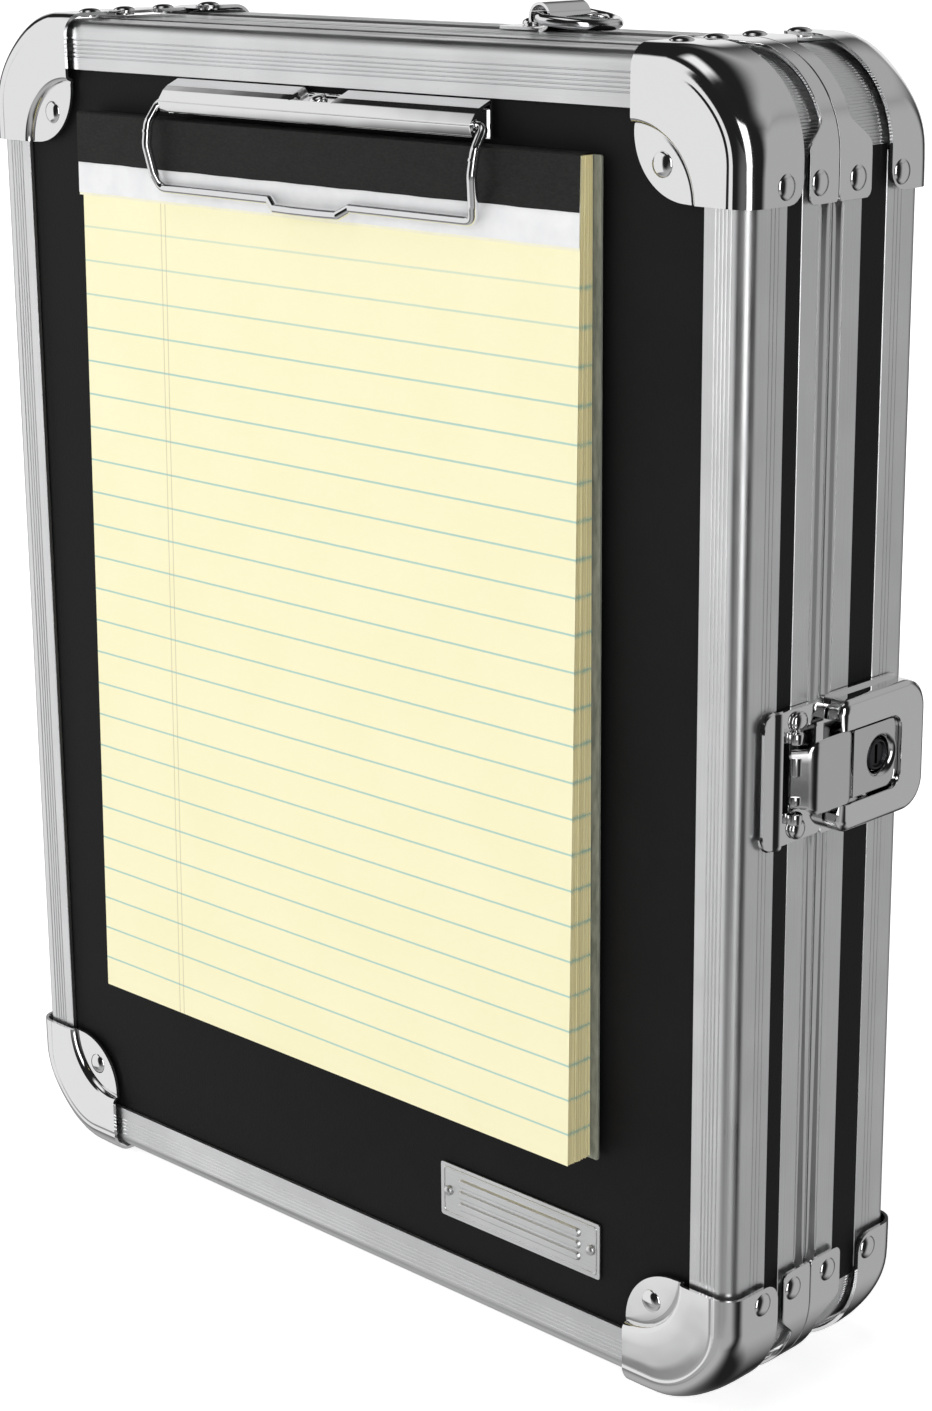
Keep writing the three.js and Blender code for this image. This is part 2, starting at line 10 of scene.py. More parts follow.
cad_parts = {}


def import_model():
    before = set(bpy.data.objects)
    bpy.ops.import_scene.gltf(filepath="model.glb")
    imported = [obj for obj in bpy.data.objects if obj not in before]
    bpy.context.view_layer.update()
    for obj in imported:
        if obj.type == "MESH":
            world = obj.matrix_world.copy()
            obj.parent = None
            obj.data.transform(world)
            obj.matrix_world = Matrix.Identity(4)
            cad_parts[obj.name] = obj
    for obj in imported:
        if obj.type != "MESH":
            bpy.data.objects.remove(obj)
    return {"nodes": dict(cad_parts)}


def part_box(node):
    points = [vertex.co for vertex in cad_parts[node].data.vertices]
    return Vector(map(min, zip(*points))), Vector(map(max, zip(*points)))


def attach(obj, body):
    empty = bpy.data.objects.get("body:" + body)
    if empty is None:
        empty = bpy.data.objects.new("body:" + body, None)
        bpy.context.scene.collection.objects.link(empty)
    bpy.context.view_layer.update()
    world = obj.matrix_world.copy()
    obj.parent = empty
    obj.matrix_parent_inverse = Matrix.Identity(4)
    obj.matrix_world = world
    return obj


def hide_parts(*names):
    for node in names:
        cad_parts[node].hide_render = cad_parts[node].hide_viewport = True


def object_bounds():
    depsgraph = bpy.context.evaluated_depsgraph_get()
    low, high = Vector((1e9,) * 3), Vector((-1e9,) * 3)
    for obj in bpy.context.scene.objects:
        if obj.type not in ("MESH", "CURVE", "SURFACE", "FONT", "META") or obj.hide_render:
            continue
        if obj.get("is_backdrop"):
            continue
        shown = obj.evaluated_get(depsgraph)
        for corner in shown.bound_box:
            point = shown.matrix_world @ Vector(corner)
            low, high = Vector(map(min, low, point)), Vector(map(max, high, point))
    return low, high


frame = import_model()
cad_low, cad_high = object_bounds()

# ---- The case, measured from the frame ---------------------------------------------------------
# Millimetres from here on: x and z from the middle of the case, y back from the front edges' face.
MM = 0.001
rim_low, rim_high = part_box("lid_rim")
back_rim_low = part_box("base_rim")[0]
WIDTH = (rim_high.x - rim_low.x) / MM
HEIGHT = (rim_high.z - rim_low.z) / MM
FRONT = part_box("lid_edge_right")[0].y
DEPTH = (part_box("base_edge_right")[1].y - FRONT) / MM
PARTING = ((rim_high.y + back_rim_low.y) / 2 - FRONT) / MM
ORIGIN = np.array([(rim_low.x + rim_high.x) / 2, FRONT, (rim_low.z + rim_high.z) / 2])

CORNER_R = 24.0  # of the case's outline seen from the front
EDGE_R = 4.0  # of the rounding between a face and a side
EDGE_SIDE = 14.1  # an edge section reaches this far back from the face
SHEET = 1.2  # thickness of the aluminium
PROUD = 1.2  # the chrome pieces' inner skin stands this far outside the aluminium
CHROME = 0.9  # thickness of the chrome pieces, outward from there
SHY = 0.15  # each half ends this far short of the parting plane
HEAD_IN = 29.5  # side and top rivets, in from the case's top or side
HALVES = {
    "lid": {"depth": PARTING, "rim": 10.9, "strap": 10.9, "neck": 5.2, "skirt": 17.2},
    "base": {"depth": DEPTH - PARTING, "rim": 11.5, "strap": 12.4, "neck": 5.6, "skirt": 15.0},
}
SIDES = {
    "right": (0.0, WIDTH / 2, HEIGHT),
    "top": (-math.pi / 2, HEIGHT / 2, WIDTH),
    "left": (math.pi, WIDTH / 2, HEIGHT),
    "bottom": (math.pi / 2, HEIGHT / 2, WIDTH),
}
CORNERS = {"tr": (1, 1), "tl": (-1, 1), "br": (1, -1), "bl": (-1, -1)}


def extent(node):
    """A node's lowest and highest corner in case millimetres."""
    low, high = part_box(node)
    return (np.array(low) - ORIGIN) / MM, (np.array(high) - ORIGIN) / MM


# ---- Mesh tools --------------------------------------------------------------------------------
# A skin is a closed surface: its points in case millimetres, and its faces as indices of them.
def row(points):
    """Case millimetres to the row's metres."""
    return np.asarray(points, float) * MM + ORIGIN


def in_half(skin, half, sx=1, sz=1, turn=0.0):
    """A skin of the lid's upper right, turned to a side, mirrored to a corner, moved to a half."""
    points, faces = skin
    p = np.asarray(points, float).reshape(-1, 3)
    c, s = math.cos(turn), math.sin(turn)
    x = (p[:, 0] * c + p[:, 2] * s) * sx
    z = (p[:, 2] * c - p[:, 0] * s) * sz
    y = p[:, 1] if half == "lid" else DEPTH - p[:, 1]
    return np.stack([x, y, z], 1), faces


def in_scene(name, data):
    """A new object in the scene."""
    made = bpy.data.objects.new(name, data)
    bpy.context.scene.collection.objects.link(made)
    return made


def make(name, skin, body, material, replaces=(), crease=35, bevel=0.0):
    """A piece from a skin. Edges sharper than crease stay crisp, or are rounded by bevel."""
    points, faces = skin
    mesh = bpy.data.meshes.new(name)
    mesh.from_pydata(row(points).tolist(), [], [list(f) for f in faces])
    bm = bmesh.new()
    bm.from_mesh(mesh)
    bmesh.ops.remove_doubles(bm, verts=bm.verts, dist=2e-6)
    bmesh.ops.dissolve_degenerate(bm, edges=bm.edges, dist=1e-6)
    bmesh.ops.recalc_face_normals(bm, faces=bm.faces)
    for face in bm.faces:
        face.smooth = True
    for edge in bm.edges:
        edge.smooth = not (edge.is_manifold and edge.calc_face_angle(0) > math.radians(crease))
    bm.to_mesh(mesh)
    bm.free()
    mesh.materials.append(material)
    piece = in_scene(name, mesh)
    if bevel:
        rounding = piece.modifiers.new("rounding", "BEVEL")
        rounding.width = bevel * MM
        rounding.segments = 2
        rounding.limit_method = "ANGLE"
        rounding.angle_limit = math.radians(crease)
        rounding.harden_normals = True
    shading = piece.modifiers.new("shading", "WEIGHTED_NORMAL")
    shading.keep_sharp = True
    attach(piece, body)
    if replaces:
        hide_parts(*replaces)
    return piece


class Shape:
    """Several skins gathered into one."""

    def __init__(self):
        self.points = np.zeros((0, 3))
        self.faces = []

    def __iter__(self):
        yield self.points
        yield self.faces

    def add(self, skin):
        """Takes in one more skin."""
        points, faces = skin
        start = len(self.points)
        self.points = np.vstack([self.points, np.asarray(points, float).reshape(-1, 3)])
        self.faces += [[i + start for i in f] for f in faces]
        return self


def grid_faces(rows, columns, wrap_rows=False, wrap_columns=False):
    """Four-sided faces over a grid of points counted row by row."""
    faces = []
    for i in range(rows if wrap_rows else rows - 1):
        for j in range(columns if wrap_columns else columns - 1):
            a, b = i * columns + j, i * columns + (j + 1) % columns
            c = ((i + 1) % rows) * columns + (j + 1) % columns
            d = ((i + 1) % rows) * columns + j
            faces.append([a, b, c, d])
    return faces


def loft(loops, wrap=False):
    """A skin through loops of equally many points, capped at both ends or wrapped to a ring."""
    loops = np.asarray(loops, float)
    rows, columns = loops.shape[:2]
    faces = grid_faces(rows, columns, wrap_rows=wrap, wrap_columns=True)
    if not wrap:
        faces.append(list(range(columns))[::-1])
        faces.append([(rows - 1) * columns + j for j in range(columns)])
    return loops.reshape(-1, 3), faces


def between(front, back):
    """A closed skin between two grids of points that match one another."""
    rows, columns = front.shape[:2]
    count = rows * columns
    faces = grid_faces(rows, columns)
    faces += [[i + count for i in f[::-1]] for f in grid_faces(rows, columns)]
    border = list(range(columns))
    border += [i * columns + columns - 1 for i in range(1, rows)]
    border += [(rows - 1) * columns + j for j in range(columns - 2, -1, -1)]
    border += [i * columns for i in range(rows - 2, 0, -1)]
    faces += [[a, b, b + count, a + count] for a, b in zip(border, border[1:] + border[:1])]
    return np.concatenate([front.reshape(-1, 3), back.reshape(-1, 3)]), faces


def sheet(grid, thickness):
    """A closed sheet with one skin on a grid of points, and its thickness against their normals."""
    grid = np.asarray(grid, float)
    normal = np.cross(np.gradient(grid, axis=0), np.gradient(grid, axis=1))
    normal /= np.maximum(np.linalg.norm(normal, axis=2, keepdims=True), 1e-9)
    return between(grid, grid - normal * thickness)


def arc(centre, radius, start, end, steps):
    """Points of an arc in a plane, angles in degrees."""
    angles = np.radians(np.linspace(start, end, steps + 1))
    return np.stack([centre[0] + radius * np.cos(angles), centre[1] + radius * np.sin(angles)], 1)


def rounded_rectangle(u0, u1, v0, v1, radii, steps=8):
    """An outline anticlockwise from the lower left, with one radius or a radius for each corner."""
    centres = [(u0, v0, 1, 1, 180), (u1, v0, -1, 1, 270), (u1, v1, -1, -1, 0), (u0, v1, 1, -1, 90)]
    radii = radii if isinstance(radii, list) else [radii] * 4
    outline = []
    for (u, v, du, dv, start), r in zip(centres, radii):
        r = max(r, 1e-3)
        outline.append(arc((u + du * r, v + dv * r), r, start, start + 90, steps))
    return np.concatenate(outline)


def densify(outline, step):
    """The same closed outline with points added along its long stretches."""
    dense = []
    for a, b in zip(outline, np.roll(outline, -1, 0)):
        count = max(1, int(math.ceil(math.dist(a, b) / step)))
        dense += [a + (b - a) * i / count for i in range(count)]
    return np.array(dense)


def prism(outline, axis, low, high):
    """A flat outline run along x, y or z. Its own axes are (y, z), (x, z) or (x, y)."""
    flat = np.asarray(outline, float)
    loops = []
    for level in (low, high):
        columns = [flat[:, 0], flat[:, 1]]
        columns.insert("xyz".index(axis), np.full(len(flat), level))
        loops.append(np.stack(columns, 1))
    return loft(loops)


def at_x(level, outline):
    """A flat outline in y and z, set at one level of x."""
    return np.column_stack([np.full(len(outline), level), outline])


def at_y(level, outline):
    """A flat outline in x and z, set at one level of y."""
    return np.column_stack([outline[:, 0], np.full(len(outline), level), outline[:, 1]])


def drawn_in(distance, radius):
    """How far a rounded corner draws in from the edge, at a distance from the corner's end."""
    near = min(max(radius - distance, 0.0), radius)
    return radius - math.sqrt(radius**2 - near**2)


def rounded_path(points, radii, steps=6):
    """A line through points, each inner corner rounded to its radius."""
    points = [np.array(p, float) for p in points]
    path = [points[0]]
    for before, corner, after, radius in zip(points, points[1:], points[2:], radii):
        a, b = before - corner, after - corner
        la, lb = np.linalg.norm(a), np.linalg.norm(b)
        a, b = a / la, b / lb
        half = math.acos(np.clip(a @ b, -1, 1)) / 2
        reach = min(radius / math.tan(half), 0.49 * la, 0.49 * lb)
        for t in np.linspace(0, 1, steps + 1):
            leaving = (1 - t) ** 2 * (corner + a * reach)
            arriving = t**2 * (corner + b * reach)
            path.append(leaving + 2 * t * (1 - t) * corner + arriving)
    path.append(points[-1])
    return np.array(path)


def tube(path, radius, sides=12, closed=False):
    """Round wire along a path, with parallel frames and flat ends."""
    path = np.asarray(path, float)
    ahead = np.roll(path, -1, 0) - np.roll(path, 1, 0) if closed else np.gradient(path, axis=0)
    ahead /= np.linalg.norm(ahead, axis=1, keepdims=True)
    side = np.cross(ahead[0], [0.3, 0.5, 0.81])
    loops = []
    angles = np.linspace(0, 2 * math.pi, sides, endpoint=False)
    for point, forward in zip(path, ahead):
        side = side - forward * (side @ forward)
        side /= np.linalg.norm(side)
        up = np.cross(forward, side)
        ring = np.outer(np.cos(angles), side) + np.outer(np.sin(angles), up)
        loops.append(point + radius * ring)
    return loft(loops, wrap=closed)


def lathe(profile, centre, axis, sides=24):
    """A turned solid: profile is (radius, height) from the axis out and back, height along axis."""
    axis = np.array(axis, float)
    u = np.cross(axis, [0.0, 0.0, 1.0]) if abs(axis[2]) < 0.9 else np.array([1.0, 0.0, 0.0])
    v = np.cross(axis, u)
    angles = np.linspace(0, 2 * math.pi, sides, endpoint=False)
    ring = np.outer(np.cos(angles), u) + np.outer(np.sin(angles), v)
    loops = [np.array(centre, float) + axis * h + ring * max(r, 1e-3) for r, h in profile]
    return loft(loops)


# A rivet head's outline as (radius, height): a button 6.5 across that bulges over its foot.
DOME = [(0, -0.5), (2.75, -0.5), (2.75, 0.1), (3.1, 0.16), (3.26, 0.42), (3.22, 0.75), (3.0, 1.1)]
DOME += [(2.6, 1.4), (2.0, 1.66), (1.3, 1.81), (0.6, 1.88), (0, 1.9)]


def dome(centre, axis, size=1.0, height=1.0):
    """A domed rivet head."""
    return lathe([(r * size, h * height) for r, h in DOME], centre, axis)


# ---- Materials ---------------------------------------------------------------------------------
class Graph:
    """A node tree, with short ways to add nodes to it."""

    def __init__(self, tree):
        self.tree = tree

    def node(self, kind, **settings):
        """Adds a node."""
        made = self.tree.nodes.new(kind)
        for key, value in settings.items():
            setattr(made, key, value)
        return made

    def put(self, socket, value):
        """Gives one socket a value, or a link from another socket."""
        if isinstance(value, bpy.types.NodeSocket):
            self.tree.links.new(value, socket)
        else:
            socket.default_value = value

    def set(self, node, values):
        """Fills a node's inputs, by name or number."""
        for key, value in values.items():
            self.put(node.inputs[key], value)
        return node

    def math(self, operation, a, b=0.0):
        """One step of arithmetic."""
        return self.set(self.node("ShaderNodeMath", operation=operation), {0: a, 1: b}).outputs[0]

    def times(self, a, b):
        """One value times another."""
        return self.math("MULTIPLY", a, b)

    def spread(self, value, low, high, to_low, to_high, **settings):
        """Maps one range of values to another."""
        made = self.node("ShaderNodeMapRange", **settings)
        self.set(made, {"Value": value, "From Min": low, "From Max": high})
        return self.set(made, {"To Min": to_low, "To Max": to_high}).outputs["Result"]


class Nodes(Graph):
    """A material with a Principled shader, its textures laid in the object's own space."""

    def __init__(self, name, colour, metallic, roughness, **constants):
        self.material = bpy.data.materials.new(name)
        self.material.use_nodes = True
        super().__init__(self.material.node_tree)
        self.shader = self.tree.nodes["Principled BSDF"]
        basic = {"Base Color": (*colour, 1), "Metallic": metallic, "Roughness": roughness}
        self.set(self.shader, basic | {k.replace("_", " "): v for k, v in constants.items()})
        self.place = self.node("ShaderNodeTexCoord").outputs["Object"]

    def stretched(self, scale):
        """The place in the object, scaled by axis."""
        mapping = self.node("ShaderNodeMapping")
        return self.set(mapping, {"Vector": self.place, "Scale": scale}).outputs[0]

    def noise(self, scale, vector=None, detail=3.0):
        """Cloudy noise from 0 to 1."""
        vector = self.place if vector is None else vector
        values = {"Vector": vector, "Scale": scale, "Detail": detail, "Roughness": 0.55}
        return self.set(self.node("ShaderNodeTexNoise"), values).outputs["Fac"]

    def mix(self, factor, a, b):
        """Mixes two colours."""
        made = self.node("ShaderNodeMix", data_type="RGBA")
        sockets = {s.identifier: s for s in made.inputs}
        self.put(sockets["Factor_Float"], factor)
        for key, value in (("A_Color", a), ("B_Color", b)):
            self.put(sockets[key], (*value, 1) if isinstance(value, tuple) else value)
        return next(s for s in made.outputs if s.identifier == "Result_Color")

    def blend(self, noise, a, b, low=0.3, high=0.7):
        """Two colours blended by a noise."""
        return self.mix(self.spread(noise, low, high, 0.0, 1.0), a, b)

    def bump(self, height, strength, distance):
        """Relief on the surface."""
        made = self.node("ShaderNodeBump")
        self.set(made, {"Height": height, "Strength": strength, "Distance": distance})
        self.set(self.shader, {"Normal": made.outputs["Normal"]})

    def colour(self, value):
        """Links the base colour."""
        self.set(self.shader, {"Base Color": value})

    def roughness(self, value):
        """Links the roughness."""
        self.set(self.shader, {"Roughness": value})

    def axis(self, name):
        """One coordinate of the place in the object."""
        if not hasattr(self, "split"):
            self.split = self.node("ShaderNodeSeparateXYZ")
            self.set(self.split, {"Vector": self.place})
        return self.split.outputs[name]


def aluminium(name, along):
    """Satin anodised aluminium with fine drawing lines along one axis."""
    m = Nodes(name, (0.86, 0.865, 0.87), 1.0, 0.58, Anisotropic=0.25)
    scale = [1500.0, 1500.0, 1500.0]
    scale["xyz".index(along)] = 14.0
    lines = m.noise(1.0, m.stretched(scale), detail=2.0)
    cloud = m.noise(45.0)
    m.roughness(m.spread(m.math("ADD", lines, cloud), 0.7, 1.3, 0.27, 0.42))
    m.colour(m.blend(lines, (0.83, 0.835, 0.84), (0.9, 0.905, 0.91), 0.35, 0.65))
    m.bump(lines, 0.07, 0.00003)
    return m.material


def chrome(name="chrome", roughness=0.06, tint=(0.86, 0.86, 0.865)):
    """Bright plate over pressed steel: faint waves from the press, and a light haze of handling."""
    m = Nodes(name, tint, 1.0, roughness)
    haze = m.noise(90.0, detail=4.0)
    m.roughness(m.spread(haze, 0.35, 0.75, roughness * 0.7, roughness * 1.9))
    waves = m.noise(70.0, detail=1.0)
    m.bump(waves, 0.1, 0.0006)
    return m.material


def black_board():
    """Black laminate with a fine pebbled grain, a little greyer where it has been rubbed."""
    m = Nodes("black_board", (0.011, 0.011, 0.0115), 0.0, 0.5, Specular_IOR_Level=0.12)
    grain = m.node("ShaderNodeTexVoronoi", feature="SMOOTH_F1")
    m.set(grain, {"Vector": m.place, "Scale": 1500.0, "Smoothness": 0.7})
    fine = m.noise(2600.0, detail=2.0)
    m.bump(m.math("ADD", grain.outputs["Distance"], m.times(fine, 0.5)), 0.3, 0.00012)
    cloud = m.noise(18.0, detail=4.0)
    m.colour(m.blend(cloud, (0.0065, 0.0065, 0.007), (0.011, 0.011, 0.0115)))
    m.roughness(m.spread(cloud, 0.3, 0.7, 0.46, 0.58))
    return m.material


def flock():
    """Dark grey lining of the trays, a short felted pile."""
    m = Nodes("lining", (0.035, 0.035, 0.038), 0.0, 0.95, Sheen_Weight=0.35, Sheen_Roughness=0.5)
    pile = m.noise(2200.0)
    cloud = m.noise(35.0)
    m.colour(m.blend(cloud, (0.033, 0.033, 0.036), (0.042, 0.042, 0.045)))
    m.bump(pile, 0.6, 0.0003)
    return m.material


def steel(name="steel", tint=(0.56, 0.565, 0.57), roughness=0.3):
    """Plain steel, dull and slightly uneven."""
    m = Nodes(name, tint, 1.0, roughness)
    cloud = m.noise(160.0, detail=4.0)
    m.roughness(m.spread(cloud, 0.3, 0.7, roughness * 0.8, roughness * 1.4))
    m.bump(m.noise(900.0, detail=2.0), 0.08, 0.0001)
    return m.material


# ---- Case --------------------------------------------------------------------------------------
ALU = {"z": aluminium("aluminium_upright", "z"), "x": aluminium("aluminium_level", "x")}
ALU_POST = aluminium("aluminium_post", "y")
CHROME_PLATE = chrome()
CHROME_WORN = chrome("chrome_worn", 0.09, (0.74, 0.74, 0.745))  # of the latch's handled pieces
BLACK = black_board()
LINING = flock()
STEEL = steel()
WIRE = chrome("bright_wire", 0.05, (0.84, 0.84, 0.85))
PLATE = aluminium("aluminium_plate", "x")
DARK = steel("dark_steel", (0.06, 0.06, 0.065), 0.35)

GROOVES = [3.6, 4.7, 5.8, 6.9, 8.2]  # fine grooves of the face flange, from its inner border
SIDE_LINES = [8.2, 9.6, 11.0]  # faint lines of the side flange, back from the face


def notched(line, marks, along, depth, width):
    """Cuts small V grooves into a straight stretch of section, their depth along the other axis."""
    out = [line[0]]
    direction = np.sign(line[1][along] - line[0][along])
    for mark in sorted(marks, key=lambda v: v * direction):
        for shift, sink in ((-width / 2, 0.0), (0.0, depth), (width / 2, 0.0)):
            point = list(line[0])
            point[along] = mark + direction * shift
            point[1 - along] = line[0][1 - along] + sink
            out.append(point)
    out.append(line[1])
    return out


def edge_outline():
    """Section of a long edge as (inward from the side, back from the face)."""
    flange, side, soft = 13.1, EDGE_SIDE, 0.14
    marks = [flange - g for g in GROOVES]
    face = notched([[flange - soft, 0.0], [EDGE_R, 0.0]], marks, 0, 0.22, 0.5)
    bend = arc((EDGE_R, EDGE_R), EDGE_R, 270, 180, 10)[1:-1]
    flank = notched([[0.0, EDGE_R], [0.0, side - soft]], SIDE_LINES, 1, 0.07, 0.4)
    rear = [[soft, side], [SHEET, side]]
    inner = arc((EDGE_R, EDGE_R), EDGE_R - SHEET, 180, 270, 6)
    border = [[flange, SHEET], [flange, soft]]
    return np.concatenate([face, bend, flank, rear, inner, border])


def edges(half):
    """Four aluminium edge sections round a tray's face."""
    outline = edge_outline()
    for name, (turn, reach, length) in SIDES.items():
        end = length / 2 - CORNER_R - 0.3
        section = np.stack([reach - outline[:, 0], outline[:, 1]], 1)
        bar = in_half(prism(section, "z", -end, end), half, turn=turn)
        material = ALU["z"] if name in ("left", "right") else ALU["x"]
        node = f"{half}_edge_{name}"
        make(node + "_section", bar, half, material, [node], 25)


def swept_ring(outline):
    """A (inward, depth) section carried once round the case's rounded outline."""
    loops = []
    for sx, sz in ((1, 1), (1, -1), (-1, -1), (-1, 1)):
        angles = np.radians(np.linspace(0, 90, 15))
        order = angles[::-1] if sx * sz > 0 else angles
        for a in order:
            nx, nz = math.cos(a) * sx, math.sin(a) * sz
            cx, cz = sx * (WIDTH / 2 - CORNER_R), sz * (HEIGHT / 2 - CORNER_R)
            reach = CORNER_R - outline[:, 0]
            loops.append(np.stack([cx + nx * reach, outline[:, 1], cz + nz * reach], 1))
    return loft(loops, wrap=True)


def rims(half, spec):
    """Mating frame: a lip and narrow band all round, and wide grooved bands along the sides."""
    end = spec["depth"] - SHY
    start = end - spec["rim"]
    lip = end - 2.9  # where the wide band ends and the lip begins
    soft, width = 0.45, 6.0
    ring = np.array(
        [[0.0, lip], [0.0, end - soft], [soft * 0.3, end - soft * 0.3], [soft, end]]
        + [[width, end], [width, end - SHEET], [SHEET, end - SHEET], [SHEET, lip]]
    )
    shape = Shape().add(swept_ring(ring))
    face = notched([[0.0, start + 0.12], [0.0, lip]], [end - 4.4], 1, 0.18, 0.5)
    band = np.array(face + [[SHEET, lip], [SHEET, start], [0.12, start]])
    for turn, reach, length in SIDES.values():
        stop = length / 2 - CORNER_R
        section = np.stack([reach - band[:, 0], band[:, 1]], 1)
        shape.add(in_half(prism(section, "z", -stop, stop), "lid", turn=turn))
    node = f"{half}_rim"
    make(node + "_frame", in_half(shape, half), half, ALU["z"], [node], 15)


def posts(half, spec):
    """Rounded corner posts whose fine ribs run from front to back."""
    inset, thick = 0.15, 4.2
    ribs, sink = 46, 0.14
    outer = []
    centre = (WIDTH / 2 - CORNER_R, HEIGHT / 2 - CORNER_R)
    for i in range(ribs * 4 + 1):
        a = math.radians(90 - 90 * i / (ribs * 4))
        r = CORNER_R - inset - (sink if i % 4 == 0 else 0.0)
        outer.append([centre[0] + r * math.cos(a), centre[1] + r * math.sin(a)])
    inner = arc(centre, CORNER_R - inset - thick, 0, 90, 12)
    outline = np.concatenate([outer, inner])
    front, back = 4.8, spec["depth"] - 3.4
    post = prism(outline, "y", front, back)
    for corner, (sx, sz) in CORNERS.items():
        node = f"{half}_post_{corner}"
        make(node + "_ribbed", in_half(post, half, sx, sz), half, ALU_POST, [node], 20)


BALL_REACH = 33.8  # of a ball corner along the case's sides
BALL_INNER_R = 16.0  # of its face plate's corner towards the middle of the case
CUP_CENTRE = (33.5, 34.5)  # of the sunk round, in from the case's side and down from its top
CUP_R = 19.2
CUP_DROP = 1.5
TAB_R = 5.0  # of the rounded ends of its skirt
STRAP_REACH = 34.5  # of a corner strap along the case's sides


def corner_line(reach):
    """Samples along the upper right corner: point, outward direction, distance so far."""
    straight = reach - CORNER_R
    radius = CORNER_R + PROUD
    lead = np.array([0.0, 0.25, 0.8, 1.7, 3.0, 4.6, 6.6, straight])
    lead = lead[lead <= straight]
    samples = []
    for t in lead[:-1]:
        samples.append(((WIDTH / 2 - reach + t, HEIGHT / 2 + PROUD), (0.0, 1.0), t))
    sweep = radius * math.pi / 2
    for a in np.linspace(90, 0, 25):
        n = (math.cos(math.radians(a)), math.sin(math.radians(a)))
        point = (WIDTH / 2 - CORNER_R + radius * n[0], HEIGHT / 2 - CORNER_R + radius * n[1])
        samples.append((point, n, straight + sweep * (90 - a) / 90))
    total = 2 * straight + sweep
    for t in lead[-2::-1]:
        samples.append(((WIDTH / 2 + PROUD, HEIGHT / 2 - reach + t), (1.0, 0.0), total - t))
    return samples, total


def smooth(t):
    """Eases from 0 to 1."""
    t = min(max(t, 0.0), 1.0)
    return t * t * (3 - 2 * t)


def ball_grid(skirt):
    """Inner skin of a ball corner, from the skirt's edge over the rounding to the face plate."""
    samples, total = corner_line(BALL_REACH)
    cup = (WIDTH / 2 - CUP_CENTRE[0], HEIGHT / 2 - CUP_CENTRE[1])
    plate = (WIDTH / 2 - BALL_REACH + BALL_INNER_R, HEIGHT / 2 - BALL_REACH + BALL_INNER_R)
    first = math.degrees(math.acos((BALL_REACH - CUP_CENTRE[0]) / -CUP_R))
    last = math.degrees(math.asin((CUP_CENTRE[1] - BALL_REACH) / CUP_R))
    columns = []
    for (px, pz), (nx, nz), travelled in samples:
        share = travelled / total
        from_end = min(travelled, total - travelled)
        hump = math.sin(math.pi * smooth(share)) ** 2
        radius = EDGE_R + PROUD + 0.8 * hump
        deep = radius + 6.5 * hump
        column = []
        side_end = skirt - drawn_in(from_end, TAB_R)
        for t in (0.0, 0.35, 0.7, 1.0):
            depth = side_end + (deep - PROUD - side_end) * t
            column.append((px, depth, pz))
        for a in np.radians(np.linspace(0, 90, 9))[1:]:
            inward = radius * (1 - math.cos(a))
            column.append((px - nx * inward, deep * (1 - math.sin(a)) - PROUD, pz - nz * inward))
        start = column[-1]
        angle = math.radians(first + (last - first) * share)
        direction = np.array([math.cos(angle), math.sin(angle)])
        rim = np.array(cup) + direction * (CUP_R + 0.6)
        across = np.array([rim[0] - start[0], rim[1] - start[2]])
        span = math.hypot(*across)
        crease = [(0.12, 0.0), (0.3, 0.4), (0.42, 0.4), (0.86, 0.0), (1.1, 0.0)]
        crease = [(t / span, sink) for t, sink in crease]
        for t, sink in crease + [(0.35, 0.0), (0.7, 0.0), (1.0, 0.0)]:
            column.append((start[0] + across[0] * t, sink - PROUD, start[2] + across[1] * t))
        step = [(0.4, 0.03), (0.15, 0.16), (-0.1, 0.6), (-0.3, 1.15), (-0.6, 1.6), (-0.9, 1.74)]
        for spread, drop in step + [(-1.9, 1.52), (-2.3, CUP_DROP)]:
            lip = np.array(cup) + direction * (CUP_R + spread)
            column.append((lip[0], drop - PROUD, lip[1]))
        inner = np.array([column[-1][0], column[-1][2]])
        turn = math.radians(180 + 90 * share)
        outline = np.array(plate) + BALL_INNER_R * np.array([math.cos(turn), math.sin(turn)])
        for t in (0.3, 0.6, 0.85, 0.97, 1.0):
            spot = inner + (outline - inner) * t
            column.append((spot[0], CUP_DROP - PROUD, spot[1]))
        columns.append(column)
    return np.array(columns)


def top_head(y, sz):
    """A rivet in the case's top or bottom. Those below are low, because the case stands there."""
    height = 0.52 if sz < 0 else 1.0
    return dome((WIDTH / 2 - HEAD_IN, y, HEIGHT / 2 + PROUD), (0, 0, 1), 1.0, height)


def side_head(y, height=1.0):
    """A rivet in the case's side."""
    return dome((WIDTH / 2 + PROUD, y, HEIGHT / 2 - HEAD_IN), (1, 0, 0), 1.0, height)


def at_corners(half, kind, part, skin, heads):
    """A pressed chrome plate and its rivets on each of a half's four corners."""
    for corner, (sx, sz) in CORNERS.items():
        node = f"{half}_{kind}_{corner}"
        plate, rivets = (in_half(s, half, sx, sz) for s in (skin, heads(sx, sz)))
        make(f"{node}_{part}", plate, half, CHROME_PLATE, [node], 40, 0.18)
        make(f"{node}_rivets", rivets, half, CHROME_PLATE)


def corners(half, spec):
    """Four ball corners, each with a rivet in its face, its side and its top."""
    face_in, from_face = 25.2, 11.0
    head_face = (WIDTH / 2 - face_in, CUP_DROP - PROUD, HEIGHT / 2 - face_in)

    def heads(sx, sz):
        """Three heads, all at full height except below."""
        face_head = dome(head_face, (0, -1, 0))
        return Shape().add(face_head).add(side_head(from_face)).add(top_head(from_face, sz))

    at_corners(half, "corner", "shell", sheet(ball_grid(spec["skirt"]), CHROME), heads)


